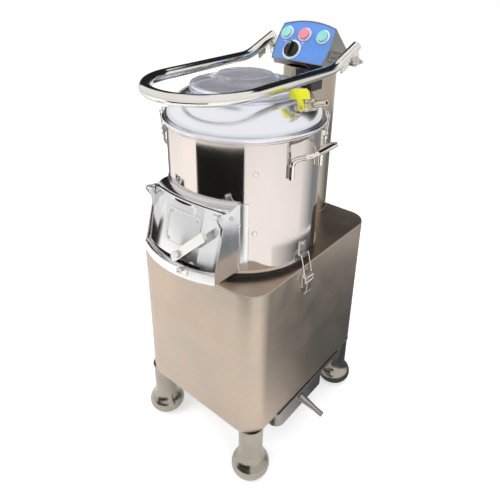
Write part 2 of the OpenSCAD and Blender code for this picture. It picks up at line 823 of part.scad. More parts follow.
// The roof rises from the door's edge in one bend and runs level to the drum
module roof_profile(r) translate([roof_x, chute_top - roof_bend]) circle(r);

module chute_roof() difference() {
  intersection() {
    rotate_extrude() difference() {
      intersection() {
        roof_profile(roof_bend);
        translate([drum_r - 5, chute_top - roof_bend]) square([roof_bend + 20, roof_bend + 5]);
      }
      roof_profile(roof_bend - 2);
    }
    translate([-chute_w, -400, 0]) cube([2 * chute_w, 400, 2000]);
    door_frame() translate([0, bow_r, -200]) cylinder(h = 600, r = bow_r - door_t - 3.5);
  }
}

// Cheek plate: its front edge follows the closed door, and an ear carries the door's pin
module chute_cheek() {
  lip_y = -sqrt(pow(chute_reach, 2) - pow(chute_w, 2));
  edge_y = door_y + bow_drop * cos(door_tilt) + 96 * sin(door_tilt) - 1.5;
  edge_z = door_z + 96 * cos(door_tilt);
  ear = 6.5;
  polygon([[-80, chute_low], [lip_y, chute_low], [lip_y + 1, floor_z], [edge_y, edge_z],
    [hinge_y - ear * 0.8, hinge_z - ear * 0.6], [hinge_y, hinge_z + ear], [hinge_y + 30, chute_top - 7],
    [hinge_y + 38, chute_top - 3], [hinge_y + 48, chute_top - 0.6], [-80, chute_top - 0.6]]);
  translate([hinge_y, hinge_z]) circle(ear);
}

module discharge_hood() machine() color("silver") difference() {
  union() {
    sides() {
      translate([chute_w - 2, 0, 0]) rotate([90, 0, 90]) linear_extrude(2) chute_cheek();
      // Flange against the drum
      intersection() {
        translate([0, 0, chute_low]) ring(drum_r + 1.5, drum_r, chute_top - chute_low);
        translate([chute_w - 1, -drum_r, 0]) cube([14, drum_r, 2000]);
      }
    }
    chute_roof();
    // Upstand of the roof against the drum
    lip_sector(drum_r + 2, drum_r, chute_top - 3, chute_top + 5);
    // Sloping floor and its apron
    intersection() {
      translate([0, 0, floor_z]) side_extrude(2 * chute_w)
        polygon([[-100, 17], [-chute_reach, -lip_t + 2], [-chute_reach, -lip_t], [-100, 15]]);
      cylinder(h = 2000, r = chute_reach);
    }
    lip_sector(chute_reach, chute_reach - lip_t, chute_low, floor_z);
  }
  round_cut(drum_r + gap);
  translate([-200, hinge_y, hinge_z]) rotate([0, 90, 0]) cylinder(h = 400, r = pin_over + fit);
}

module lock_catch() machine() color("silver") {
  z = floor_z + 1;
  y = -sqrt(pow(chute_reach, 2) - pow(catch_x, 2));
  difference() {
    union() {
      translate([catch_x, y - catch_neck - catch_ball + 1, z]) sphere(catch_ball);
      translate([catch_x, y - catch_neck - 2, z]) rotate([-90, 0, 0]) cylinder(h = 20, r = 3.5);
      translate([catch_x - 13, y - 2.6, z - 14]) cube([26, 10, 18]);
    }
    round_cut(chute_reach);
  }
}

// Moves to the door's lower middle: X across, Z up the slope, -Y out of the face
module door_frame() translate([0, door_y, door_z]) rotate([-door_tilt, 0, 0]) children();

module bowed_sheet(half, z0, z1, out, inward) translate([0, bow_r, 0]) intersection() {
  translate([0, 0, z0]) ring(bow_r + out, bow_r - inward, z1 - z0);
  translate([-half, -bow_r - 20, z0 - 1]) cube([2 * half, 80, z1 - z0 + 2]);
}

module discharge_door() machine() color("silver") difference() {
  union() {
    difference() {
      door_frame() bowed_sheet(door_half, 4, hinge_v + 6, 0, door_t);
      // Its top edge ends level with the roof behind it
      rotate_extrude() difference() {
        translate([roof_x, chute_top - roof_bend]) square([80, roof_bend + 20]);
        roof_profile(roof_bend + 0.5);
      }
    }
    // Arms from the ends of the sheet to the tubes on the pins
    door_frame() sides() {
      translate([door_half - 3, 0, 0]) rotate([90, 0, 90]) linear_extrude(2)
        polygon([[-4, hinge_v - 3], [-1, hinge_v + 5], [4, hinge_v + 3], [bow_drop - 1, hinge_v - 16],
          [bow_drop - 1, hinge_v - 44], [bow_drop - 3, hinge_v - 44], [7, hinge_v - 18]]);
      translate([door_half - 14, 0, hinge_v]) rotate([0, 90, 0]) cylinder(h = 14, r = hinge_tube);
    }
    // Spacer boss for the lever
    door_frame() translate([lever_x, -lever_out + 2 + gap, lever_v]) rotate([-90, 0, 0]) cylinder(h = lever_out, r = 8);
  }
  translate([-200, hinge_y, hinge_z]) rotate([0, 90, 0]) cylinder(h = 400, r = pin_over);
  door_frame() translate([lever_x, -20, lever_v]) rotate([-90, 0, 0]) cylinder(h = 40, r = 4);
}

module door_plate() machine() color("gainsboro") door_frame() difference() {
  high = plate_high - plate_low;
  intersection() {
    translate([0, bow_r, plate_low]) ring(bow_r + 2 + gap, bow_r + gap, high);
    translate([plate_mid - plate_half, -20, plate_low - 1]) cube([2 * plate_half, 40, high + 2]);
  }
  for (x = [-1, 1], z = [plate_low + 8, plate_high - 8]) translate([plate_mid + x * (plate_half - 8), -20, z])
    rotate([-90, 0, 0]) cylinder(h = 40, r = 2.5);
}

module door_pins() machine() color("silver") {
  sides() translate([chute_w - 16, hinge_y, hinge_z]) rotate([0, 90, 0]) {
    cylinder(h = 19, r = pin_over);
    translate([0, 0, 16 + gap]) cylinder(h = 3, r = 5.5);
  }
  door_frame() translate([lever_x, 0, lever_v]) rotate([90, 0, 0]) {
    translate([0, 0, -6]) cylinder(h = 6 + lever_out + 3, r = 4);
    translate([0, 0, lever_out + 2.5]) cylinder(h = 5, r = 8, $fn = 6);
  }
}

module door_lever(knee = lever_len - 52) machine() color("silver") door_frame()
  translate([lever_x, -lever_out, lever_v]) rotate([90, 0, 0]) rotate([0, 0, lever_turn]) difference() {
    union() {
      translate([-12, 0, -2]) cylinder(h = 4, r = lever_w / 2);
      // Flat grip, bent outwards near its end
      rotate([90, 0, 0]) translate([0, 0, -lever_w / 2]) linear_extrude(lever_w)
        polygon([[-12, -2], [knee + 0.6, -2], [knee + 20, 11.6], [knee + 17.7, 14.9], [knee - 0.6, 2], [-12, 2]]);
    }
    translate([0, 0, -10]) cylinder(h = 20, r = 4 + fit);
  }

// ---- Toggle latches and lid clips ----

// Places for the two latches between drum and cabinet, and the two lid clips
module right_latch() translate([cab_w / 2, 0, 0]) children();

module left_latch() mirror([1, 0, 0]) right_latch() children();

module right_clip() around(clip_angle, drum_r) children();

module left_clip() around(clip_angle + 180, drum_r) children();

// hx and hz place the hinge, half is half the plate's width
module toggle_plate(hx, hz, half, low, high) {
  translate([0, -half, low]) cube([2, 2 * half, high - low]);
  for (s = [-1, 1]) translate([0, s > 0 ? half - 4 : -half + 2, 0]) {
    translate([0, 0, hz - 6]) cube([hx, 2, 12]);
    translate([hx, 0, hz]) rotate([-90, 0, 0]) cylinder(h = 2, r = 5);
  }
  translate([hx, -half + 2, hz]) rotate([-90, 0, 0]) cylinder(h = 2 * half - 4, r = 2);
}

module toggle_lever(hx, hz, arm, half, length) difference() {
  knuckle = half - 4 - gap;
  eye_in = half - 0.7;
  union() {
    translate([hx, -knuckle, hz]) rotate([-90, 0, 0]) cylinder(h = 2 * knuckle, r = 4.4);
    translate([hx - 1, -knuckle, hz - length + 8]) cube([2.5, 2 * knuckle, length - 8]);
    translate([hx - 1, -knuckle, hz - length + 8]) rotate([0, 35, 0]) translate([0, 0, -10])
      cube([2.5, 2 * knuckle, 12]);
    translate([hx, -knuckle - 0.1, hz - arm]) rotate([-90, 0, 0]) cylinder(h = 2 * knuckle + 0.2, r = 3.4);
    translate([hx, -eye_in - 3.4, hz - arm]) rotate([-90, 0, 0]) cylinder(h = 2 * eye_in + 6.8, r = 1.6);
  }
  translate([hx, -20, hz]) rotate([-90, 0, 0]) cylinder(h = 40, r = 2 + fit);
}

// A wire bail from the lever's pin through the listed knees to its cross bar
module toggle_bail(hx, hz, arm, half, knees, wire) {
  y = half + 0.9;
  difference() {
    union() {
      for (s = [-1, 1]) translate([hx, s * y, hz - arm]) rotate([90, 0, 0]) cylinder(h = 2.6, r = 3.4, center = true);
      bent_rod(concat([[hx, -y, hz - arm]], [for (k = knees) [k[0], -y, k[1]]],
        [for (i = [1 : len(knees)]) [knees[len(knees) - i][0], y, knees[len(knees) - i][1]]],
        [[hx, y, hz - arm]]), wire);
    }
    translate([hx, -40, hz - arm]) rotate([-90, 0, 0]) cylinder(h = 80, r = 1.6 + fit);
  }
}

module strike_hook() translate([0, 0, latch_tz]) {
  seat = wire_r + 0.8;
  tip = latch_tx + wire_r + 1;
  difference() {
    union() {
      translate([drum_r - 3, -11, -seat - 2.5]) cube([5.5, 22, 36]);
      translate([drum_r - 3, -8, -seat - 2.5]) cube([tip + 5.3 - drum_r, 16, 2.5]);
      translate([tip, -8, -seat - 2.5]) cube([2.3, 16, seat + 3.5]);
      translate([drum_r + 2, 0, 25]) rotate([0, 90, 0]) cylinder(h = 2.5, r1 = 4, r2 = 3);
    }
    translate([0, 0, -latch_tz]) round_cut(drum_r);
  }
}

module strike_hooks() machine() color("silver") sides() strike_hook();

module latch_plates() machine() color("silver") {
  for (s = [0, 1]) mirror([s, 0, 0]) right_latch() translate([0, 0, latch_z])
    toggle_plate(latch_hx, latch_up, 13, -24, 24);
  difference() {
    for (a = [0, 180]) around(clip_angle + a, drum_r) translate([0, 0, clip_z]) {
      toggle_plate(clip_hx, clip_up, 11, -20, 18);
      translate([-2, -11, -20]) cube([3, 22, 38]);
    }
    round_cut(drum_r);
  }
}

module latch_lever() translate([0, 0, latch_z]) toggle_lever(latch_hx, latch_up, latch_arm, 13, 50);

module latch_bail() translate([0, 0, latch_z])
  toggle_bail(latch_hx, latch_up, latch_arm, 13, [[latch_tx - cab_w / 2, latch_tz - latch_z]], 1.5);

module clip_lever() translate([0, 0, clip_z]) toggle_lever(clip_hx, clip_up, clip_arm, 11, 38);

module clip_wire() translate([0, 0, clip_z]) toggle_bail(clip_hx, clip_up, clip_arm, 11,
  [[clip_hx + 5, lid_z + 6 - clip_z], [clip_tx - drum_r, clip_tz - clip_z]], wire_r);

module latch_lever_right() machine() color("silver") right_latch() latch_lever();

module latch_lever_left() machine() color("silver") left_latch() latch_lever();

module latch_bail_right() machine() color("silver") right_latch() latch_bail();

module latch_bail_left() machine() color("silver") left_latch() latch_bail();

module clip_lever_right() machine() color("dimgray") right_clip() clip_lever();

module clip_lever_left() machine() color("dimgray") left_clip() clip_lever();

module clip_wire_right() machine() color("silver") right_clip() clip_wire();

module clip_wire_left() machine() color("silver") left_clip() clip_wire();

// ---- Lid ----

// Height of the dome's outer face above the lid's ledge at radius r
function dome_at(r) = 2 + (dome_h - 2) * sqrt(1 - pow((r - dome_in) / (dome_r - dome_in), 2));

module lid_shell() machine() color("lightgray") difference() {
  steps = 20;
  outer = [for (i = [0 : steps]) let (a = 90 * i / steps)
    [dome_in + (dome_r - dome_in) * cos(a), 2 + (dome_h - 2) * sin(a)]];
  inner = [for (i = [0 : steps]) let (a = 90 * i / steps)
    [dome_in + (dome_r - lid_t - dome_in) * cos(a), 2 - lid_t + (dome_h - 2) * sin(a)]];
  translate([0, 0, lid_z]) rotate_extrude($fn = 96) difference() {
    union() {
      polygon(concat(outer, [for (i = [steps : -1 : 0]) inner[i]]));
      translate([rim_r, 0]) circle(bead_r);
      translate([dome_r - lid_t, 0.5]) square([rim_r - dome_r + lid_t, lid_t]);
      translate([lid_hole - lid_t, dome_at(lid_hole + 12) - 6]) square([lid_t, 18]);
    }
    square([lid_hole - lid_t, 200]);
  }
  valve_body() rotate([0, -90, 0]) cylinder(h = inlet_len + 5, r = inlet_r);
}

module clear_cover() machine() color("#8a84c8", 0.4) {
  wall = 3;
  skirt_z = lid_z + dome_at(cover_r - wall) + gap;
  top_z = lid_z + dome_h + 12;
  crown_z = top_z + 19;
  rotate_extrude($fn = 96) {
    polygon([[cover_r, skirt_z], [cover_r, top_z - 5], [cover_r - 2, top_z - 2], [cover_r - 6, top_z - 1],
      [crown_r + 21, top_z + 3], [crown_r + 12, top_z + 6], [crown_r + 5, top_z + 11],
      [crown_r, crown_z - 3], [crown_r - 3, crown_z], [0, crown_z], [0, crown_z - wall],
      [crown_r - 5, crown_z - wall], [crown_r + 1, top_z + 9], [crown_r + 10, top_z + 3],
      [crown_r + 20, top_z], [cover_r - 7, top_z - 4], [cover_r - wall, top_z - 7], [cover_r - wall, skirt_z]]);
  }
}

module at_valve() around(valve_angle, valve_r) translate([0, 0, valve_z]) children();

// The valve's own frame: the flow runs along X, a little uphill
module valve_body() at_valve() rotate([0, -valve_tilt, 0]) children();

// Turned body round the axis of the flow: its inlet runs down through the lid, its barb takes the hose
module water_valve() machine() color("#b9b2a4") valve_body() {
  rotate([0, 90, 0]) rotate_extrude() difference() {
    polygon([[0, -inlet_len], [inlet_r, -inlet_len], [inlet_r, -17], [10, -17], [12, -15], [12, -9],
      [10, -7], [12.5, -3], [12.5, 6], [10, 9], [12, 11], [12, 21], [6, 22], [6, 24], [7.4, 24.5], [6, 31],
      [7.4, 31.5], [6, 38], [7.4, 38.5], [6, 45], [7.4, 45.5], [6, 52], [0, 52]]);
    polygon([[-1, 12], [3.6, 12], [3.6, 60], [-1, 60]]);
  }
  rotate([90, 0, 0]) {
    cylinder(h = 15, r = 6);
    cylinder(h = 21, r = 3);
  }
}

// The lever's stem is bent out, and its grip lies across the flow like a flag
module valve_lever() machine() color("#e8e428") valve_body() translate([0, -15 - gap, 0]) difference() {
  rotate([90, 0, 0]) {
    translate([-7, -7, 0]) cube([14, 26, 3]);
    rotate([0, 0, -6]) difference() {
      translate([-26, 16, 0]) cube([50, 21, 3]);
      for (x = [-26, 24]) translate([x, 37, -1]) rotate([0, 0, 45]) cube([9, 9, 10], center = true);
    }
  }
  translate([0, -10, 0]) rotate([-90, 0, 0]) cylinder(h = 20, r = 3 + fit);
}

cabinet_shell();
base_frame();
leg_tubes();
bell_feet();
rear_cover();
cover_screws();
cable_gland();
drain_tray();
drum_base();
seal_ring();
bearing_housing();
shaft_bearings();
shaft_seal();
main_shaft();
abrasive_disc();
disc_nut();
large_pulley();
small_pulley();
motor_shaft();
motor();
motor_plate();
drive_belt();
electrical_box();
column();
control_box();
control_panel();
panel_rings();
start_button();
stop_button();
jog_button();
switch_blocks();
timer_knob();
guard_switch();
bar_pivots();
guard_bar();
drum_shell();
abrasive_liner();
liner_bolts();
drum_handles();
discharge_hood();
lock_catch();
discharge_door();
door_plate();
door_pins();
door_lever();
strike_hooks();
latch_plates();
latch_lever_right();
latch_lever_left();
latch_bail_right();
latch_bail_left();
clip_lever_right();
clip_lever_left();
clip_wire_right();
clip_wire_left();
lid_shell();
clear_cover();
water_valve();
valve_lever();
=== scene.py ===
"""Electric potato peeler: finishes, small parts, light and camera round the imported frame.

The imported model's frame is in metres, with the floor at z = 0 and the front towards
-Y. Each sub-assembly is a class with its own sizes in millimetres, a build method for
the pieces it adds and a dress method for its finishes.
"""

from __future__ import annotations

import json
import logging
import math
from bisect import bisect_left
from dataclasses import dataclass
from enum import Enum
from typing import Sequence

import bmesh
import bpy
import numpy as np
from mathutils import Matrix, Vector

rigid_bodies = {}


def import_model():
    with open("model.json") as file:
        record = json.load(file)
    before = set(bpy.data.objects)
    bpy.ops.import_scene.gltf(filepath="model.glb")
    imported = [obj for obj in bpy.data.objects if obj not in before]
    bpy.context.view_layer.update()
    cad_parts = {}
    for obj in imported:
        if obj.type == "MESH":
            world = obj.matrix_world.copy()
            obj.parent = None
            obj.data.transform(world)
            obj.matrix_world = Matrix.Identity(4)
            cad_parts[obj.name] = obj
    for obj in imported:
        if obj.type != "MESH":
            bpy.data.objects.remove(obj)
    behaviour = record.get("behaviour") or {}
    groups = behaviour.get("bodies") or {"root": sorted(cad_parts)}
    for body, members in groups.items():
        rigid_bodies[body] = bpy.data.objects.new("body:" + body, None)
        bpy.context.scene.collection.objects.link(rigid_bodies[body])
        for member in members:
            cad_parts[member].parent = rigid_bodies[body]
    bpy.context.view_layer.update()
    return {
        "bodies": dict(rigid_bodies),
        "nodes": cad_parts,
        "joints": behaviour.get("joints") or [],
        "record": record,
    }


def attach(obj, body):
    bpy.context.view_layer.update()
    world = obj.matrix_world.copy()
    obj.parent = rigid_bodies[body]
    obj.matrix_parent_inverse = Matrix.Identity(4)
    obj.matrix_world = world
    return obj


LOG = logging.getLogger("peeler")
Colour = tuple[float, float, float]
Range = tuple[float, float]
Shape = bmesh.types.BMesh
Material = bpy.types.Material
Node = bpy.types.Node
NodeTree = bpy.types.NodeTree
Socket = bpy.types.NodeSocket
MM = 0.001
FULL: Range = (0.0, 1.0)
UP = Vector((0, 0, 1))


class Lay(Enum):
    """Which way a sheet's grain runs: its stretch on upright faces and on level ones."""

    LEVEL = ((5.0, 5.0, 1100.0), (5.0, 1100.0, 5.0))
    UPRIGHT = ((1100.0, 1100.0, 5.0), (1100.0, 5.0, 5.0))
    SPUN = ((12.0, 12.0, 1500.0), (40.0, 40.0, 40.0))
    NONE = ((260.0, 260.0, 260.0), (260.0, 260.0, 260.0))


# ---------------------------------------------------------------- shader graphs


class Graph:
    """Adds nodes to one node tree and joins them."""

    def __init__(self, tree: NodeTree) -> None:
        """Keeps the tree that the nodes go into.

        Args:
            tree: A material's, world's or group's node tree.
        """
        self.tree = tree

    def add(self, kind: str, **settings: object) -> Node:
        """Adds one node.

        Args:
            kind: The node's type name.
            **settings: Attributes to set on it.

        Returns:
            The new node.
        """
        node = self.tree.nodes.new(kind)
        for name, value in settings.items():
            setattr(node, name, value)
        return node

    def find(self, kind: str) -> Node:
        """Returns the tree's own node of a kind, such as its shader or its output."""
        return next(node for node in self.tree.nodes if node.type == kind)

    def feed(self, value: object, socket: Socket) -> None:
        """Sets a socket to a constant, or links it to another socket.

        Args:
            value: A number, a tuple or an output socket.
            socket: The input socket.
        """
        if isinstance(value, Socket):
            self.tree.links.new(value, socket)
        elif socket.type == "RGBA" and len(value) == 3:
            socket.default_value = (*value, 1.0)
        else:
            socket.default_value = value

    def calc(self, operation: str, first: object, second: object = 0.0) -> Socket:
        """Adds a clamped maths node and returns its result.

        Args:
            operation: The maths node's operation.
            first: A number or socket.
            second: A number or socket.

        Returns:
            The result socket.
        """
        node = self.add("ShaderNodeMath", operation=operation, use_clamp=True)
        self.feed(first, node.inputs[0])
        self.feed(second, node.inputs[1])
        return node.outputs[0]

    def share(self, value: object, part: float) -> Socket:
        """Returns a value at a share of its strength."""
        return self.calc("MULTIPLY", value, part)

    def remap(self, value: object, source: Range, target: Range = FULL) -> Socket:
        """Maps one range onto another.

        Args:
            value: The socket to map.
            source: Its low and high value.
            target: What they become.

        Returns:
            The mapped value.
        """
        node = self.add("ShaderNodeMapRange")
        for index, item in enumerate((value, *source, *target)):
            self.feed(item, node.inputs[index])
        return node.outputs[0]

    def blend(self, factor: object, first: object, second: object) -> Socket:
        """Mixes two colours.

        Args:
            factor: 0 for the first and 1 for the second.
            first: A colour or socket.
            second: A colour or socket.

        Returns:
            The mixed colour.
        """
        node = self.add("ShaderNodeMix", data_type="RGBA")
        self.feed(factor, node.inputs[0])
        self.feed(first, node.inputs[6])
        self.feed(second, node.inputs[7])
        return node.outputs[2]

    def noise(self, vector: object, scale: object, detail: float = 3.0,
              rough: float = 0.55) -> Socket:
        """Adds a noise texture.

        Args:
            vector: Its coordinates.
            scale: Features per metre, or a socket.
            detail: How many finer layers it has.
            rough: How strong the finer layers are.

        Returns:
            The noise value.
        """
        node = self.add("ShaderNodeTexNoise")
        self.feed(vector, node.inputs["Vector"])
        for label, value in (("Scale", scale), ("Detail", detail), ("Roughness", rough)):
            self.feed(value, node.inputs[label])
        return node.outputs[0]

    def stretch(self, vector: object, factors: object) -> Socket:
        """Multiplies coordinates axis by axis.

        Args:
            vector: The coordinates.
            factors: Three factors, or a socket.

        Returns:
            The stretched coordinates.
        """
        node = self.add("ShaderNodeVectorMath", operation="MULTIPLY")
        self.feed(vector, node.inputs[0])
        self.feed(factors, node.inputs[1])
        return node.outputs[0]

    def use(self, tree: NodeTree, **values: object) -> bpy.types.NodeOutputs:
        """Places a node group.

        Args:
            tree: The group.
            **values: Its input values.

        Returns:
            The group's outputs.
        """
        node = self.add("ShaderNodeGroup", node_tree=tree)
        for name, value in values.items():
            self.feed(value, node.inputs[name])
        return node.outputs

    def place(self) -> Socket:
        """Returns the object coordinates, which ride with the piece."""
        return self.add("ShaderNodeTexCoord").outputs["Object"]


class Effects:
    """The shader node groups that the finishes share.

    Attributes:
        LEVEL: How level a face is where its grain turns from the upright to the level one.
        GRAIN_LAYERS: Scale, detail and share of each layer of the grain.
        EDGE: Agreement of the rounded and the true normal, from whole to worn.
        PATCHES: The part of a noise that breaks the wear into patches.
        SPECKS: The part of a noise that dust lies on.
        LYING: How far a face looks up, and how much dust lies on it then, least and most.
        MARKS: The part of a noise that wiping has dulled.
        BEND: How far the wiping marks are bent, axis by axis.
    """

    LEVEL = (0.55, 0.75)
    GRAIN_LAYERS = ((1.0, 4.0, 0.6), (0.14, 3.0, 0.4))
    EDGE = (0.995, 0.85)
    PATCHES = (0.4, 0.62)
    SPECKS = (0.45, 0.7)
    LYING = ((0.1, 1.0), (0.15, 1.0))
    MARKS = (0.42, 0.72)
    BEND = (0.12, 0.12, 0.25)

    def __init__(self) -> None:
        """Builds each group once."""
        self.grain = self._grain()
        self.wear = self._wear()
        self.dust = self._dust()
        self.smudge = self._smudge()

    @staticmethod
    def _group(name: str, inputs: Sequence[tuple[str, str, object]],
               outputs: Sequence[tuple[str, str]]) -> tuple[Graph, Node, Node]:
        """Makes an empty node group with its sockets.

        Args:
            name: The group's name.
            inputs: Name, socket type and default of each input.
            outputs: Name and socket type of each output.

        Returns:
            The group's graph, its input node and its output node.
        """
        tree = bpy.data.node_groups.new(name, "ShaderNodeTree")
        for label, kind, default in inputs:
            socket = tree.interface.new_socket(label, in_out="INPUT", socket_type=kind)
            socket.default_value = default
        for label, kind in outputs:
            tree.interface.new_socket(label, in_out="OUTPUT", socket_type=kind)
        graph = Graph(tree)
        return graph, graph.add("NodeGroupInput"), graph.add("NodeGroupOutput")

    def _grain(self) -> NodeTree:
        """Long fine streaks, with one direction on upright faces and one on level ones.

        Returns:
            The group.
        """
        graph, source, target = self._group(
            "Brushed grain",
            [("Upright", "NodeSocketVector", (4, 4, 900)),
             ("Level", "NodeSocketVector", (4, 900, 4))],
            [("Grain", "NodeSocketFloat"), ("Cloud", "NodeSocketFloat")])
        place = graph.place()
        normal = graph.add("ShaderNodeNewGeometry").outputs["True Normal"]
        split = graph.add("ShaderNodeSeparateXYZ")
        graph.feed(normal, split.inputs[0])
        level = graph.remap(graph.calc("ABSOLUTE", split.outputs[2]), self.LEVEL)
        layers = []
        for scale, detail, part in self.GRAIN_LAYERS:
            mix = graph.add("ShaderNodeMix", data_type="FLOAT")
            graph.feed(level, mix.inputs[0])
            for way, socket in (("Upright", 2), ("Level", 3)):
                drawn = graph.stretch(place, source.outputs[way])
                graph.feed(graph.noise(drawn, scale, detail, rough=0.6), mix.inputs[socket])
            layers.append(graph.share(mix.outputs[0], part))
        graph.feed(graph.calc("ADD", *layers), target.inputs["Grain"])
        graph.feed(graph.noise(place, scale=6.0, rough=0.6), target.inputs["Cloud"])
        return graph.tree

    def _wear(self) -> NodeTree:
        """A broken mask along edges, and the rounded edge's normal.

        Returns:
            The group.
        """
        graph, source, target = self._group(
            "Edge wear",
            [("Radius", "NodeSocketFloat", 0.001), ("Patch", "NodeSocketFloat", 120.0)],
            [("Mask", "NodeSocketFloat"), ("Normal", "NodeSocketVector")])
        bevel = graph.add("ShaderNodeBevel", samples=4)
        graph.feed(source.outputs["Radius"], bevel.inputs["Radius"])
        geometry = graph.add("ShaderNodeNewGeometry")
        dot = graph.add("ShaderNodeVectorMath", operation="DOT_PRODUCT")
        graph.feed(bevel.outputs[0], dot.inputs[0])
        graph.feed(geometry.outputs["Normal"], dot.inputs[1])
        edge = graph.remap(dot.outputs["Value"], self.EDGE)
        patch = graph.noise(graph.place(), source.outputs["Patch"], detail=2.0, rough=0.5)
        broken = graph.remap(patch, self.PATCHES)
        graph.feed(graph.calc("MULTIPLY", edge, broken), target.inputs["Mask"])
        graph.feed(bevel.outputs[0], target.inputs["Normal"])
        return graph.tree

    def _dust(self) -> NodeTree:
        """Where dust settles: on what looks up, in patches.

        Returns:
            The group.
        """
        graph, source, target = self._group(
            "Settled dust",
            [("Amount", "NodeSocketFloat", 0.2), ("Scale", "NodeSocketFloat", 30.0)],
            [("Mask", "NodeSocketFloat")])
        split = graph.add("ShaderNodeSeparateXYZ")
        graph.feed(graph.add("ShaderNodeNewGeometry").outputs["Normal"], split.inputs[0])
        up = graph.remap(split.outputs[2], *self.LYING)
        speck = graph.noise(graph.place(), source.outputs["Scale"], detail=6.0, rough=0.5)
        lying = graph.calc("MULTIPLY", up, graph.remap(speck, self.SPECKS))
        mask = graph.calc("MULTIPLY", lying, source.outputs["Amount"])
        graph.feed(mask, target.inputs["Mask"])
        return graph.tree

    def _smudge(self) -> NodeTree:
        """Wiped and handled patches that dull a polish.

        Returns:
            The group.
        """
        graph, source, target = self._group(
            "Wiping marks", [("Scale", "NodeSocketFloat", 9.0)], [("Mask", "NodeSocketFloat")])
        place = graph.place()
        warp = graph.noise(place, scale=5.0, detail=2.0, rough=0.5).node.outputs["Color"]
        bent = graph.add("ShaderNodeVectorMath", operation="ADD")
        graph.feed(place, bent.inputs[0])
        graph.feed(graph.stretch(warp, self.BEND), bent.inputs[1])
        cloud = graph.noise(bent.outputs[0], source.outputs["Scale"], detail=5.0, rough=0.5)
        graph.feed(graph.remap(cloud, self.MARKS), target.inputs["Mask"])
        return graph.tree


# ---------------------------------------------------------------- finishes


def blank_material(name: str) -> tuple[Material, Graph]:
    """Makes a material that uses nodes.

    Args:
        name: Its name.

    Returns:
        The material and its graph.
    """
    material = bpy.data.materials.new(name)
    material.use_nodes = True
    return material, Graph(material.node_tree)


@dataclass(frozen=True)
class Finish:
    """What every finish has.

    Attributes:
        name: The material's name.
        tint: Main colour.
        shade: The colour that it drifts to.
        roughness: Mean roughness.
        spread: How far the roughness wanders.
        edge: Radius of the softened edges in metres.
        CLOUD: The part of a broad noise that colour follows.
        FINE: The part of a fine noise that roughness follows.
    """

    CLOUD = (0.35, 0.65)
    FINE = (0.3, 0.7)

    name: str
    tint: Colour
    shade: Colour
    roughness: float = 0.4
    spread: float = 0.1
    edge: float = 0.0008

    def start(self) -> tuple[Material, Graph, Node]:
        """Makes the material with its shader.

        Returns:
            The material, its graph and its Principled BSDF.
        """
        material, graph = blank_material(self.name)
        material.diffuse_color = (*self.tint, 1.0)
        return material, graph, graph.find("BSDF_PRINCIPLED")

    def bumped(self, graph: Graph, shader: Node, height: object, strength: float, depth: float,
               normal: object = None) -> None:
        """Feeds a bump to the shader's normal.

        Args:
            graph: The material's graph.
            shader: Its Principled BSDF.
            height: The height socket.
            strength: The bump's strength.
            depth: The bump's depth in metres.
            normal: The normal that it starts from.
        """
        bump = graph.add("ShaderNodeBump")
        bump.inputs["Strength"].default_value = strength
        bump.inputs["Distance"].default_value = depth
        graph.feed(height, bump.inputs["Height"])
        if normal is not None:
            graph.feed(normal, bump.inputs["Normal"])
        graph.feed(bump.outputs[0], shader.inputs["Normal"])


@dataclass(frozen=True)
class Steel(Finish):
    """Stainless steel, brushed or polished.

    Attributes:
        lay: Which way the grain runs.
        groove: Strength of the grain's bump.
        wear: How bright worn edges are.
        dust: How much dust lies on it.
        streak: How far the grain darkens the colour.
        DUST_TONE: The dust's colour.
        DARKER: What the streaks leave of the colour.
        BRIGHTER: Gain and lift of the colour on worn edges.
        WIPED: What wiping adds to the roughness, as a share of its spread.
        DUSTY: What dust adds to the roughness.
        GROOVE_DEPTH: Depth of the grain in metres.
    """

    DUST_TONE = (0.58, 0.55, 0.50)
    DARKER = 0.72
    BRIGHTER = (1.18, 0.06)
    WIPED = 0.8
    DUSTY = 0.4
    GROOVE_DEPTH = 0.0004

    lay: Lay = Lay.LEVEL
    groove: float = 0.05
    wear: float = 0.3
    dust: float = 0.04
    streak: float = 0.22

    def build(self, effects: Effects) -> Material:
        """Makes the material.

        Args:
            effects: The shared groups.

        Returns:
            The finished material.
        """
        material, graph, shader = self.start()
        shader.inputs["Metallic"].default_value = 1.0
        upright, level = self.lay.value
        grain = graph.use(effects.grain, Upright=upright, Level=level)
        wear = graph.use(effects.wear, Radius=self.edge, Patch=90.0)
        smudge = graph.use(effects.smudge, Scale=11.0)
        dust = graph.use(effects.dust, Amount=self.dust, Scale=45.0)
        fine = grain["Grain"]
        colour = graph.blend(graph.remap(grain["Cloud"], self.CLOUD), self.tint, self.shade)
        streak = graph.remap(fine, self.FINE, (0.0, self.streak + self.groove))
        colour = graph.blend(streak, colour, tuple(self.DARKER * c for c in self.shade))
        gain, lift = self.BRIGHTER
        bright = tuple(min(1.0, c * gain + lift) for c in self.tint)
        colour = graph.blend(graph.share(wear["Mask"], self.wear), colour, bright)
        colour = graph.blend(dust["Mask"], colour, self.DUST_TONE)
        graph.feed(colour, shader.inputs["Base Color"])
        low = self.roughness - self.spread / 2
        rough = graph.remap(fine, self.FINE, (low, low + self.spread))
        for mark, part in ((smudge, self.spread * self.WIPED), (dust, self.DUSTY)):
            rough = graph.calc("ADD", rough, graph.share(mark["Mask"], part))
        graph.feed(rough, shader.inputs["Roughness"])
        self.bumped(graph, shader, fine, self.groove, self.GROOVE_DEPTH, wear["Normal"])
        return material


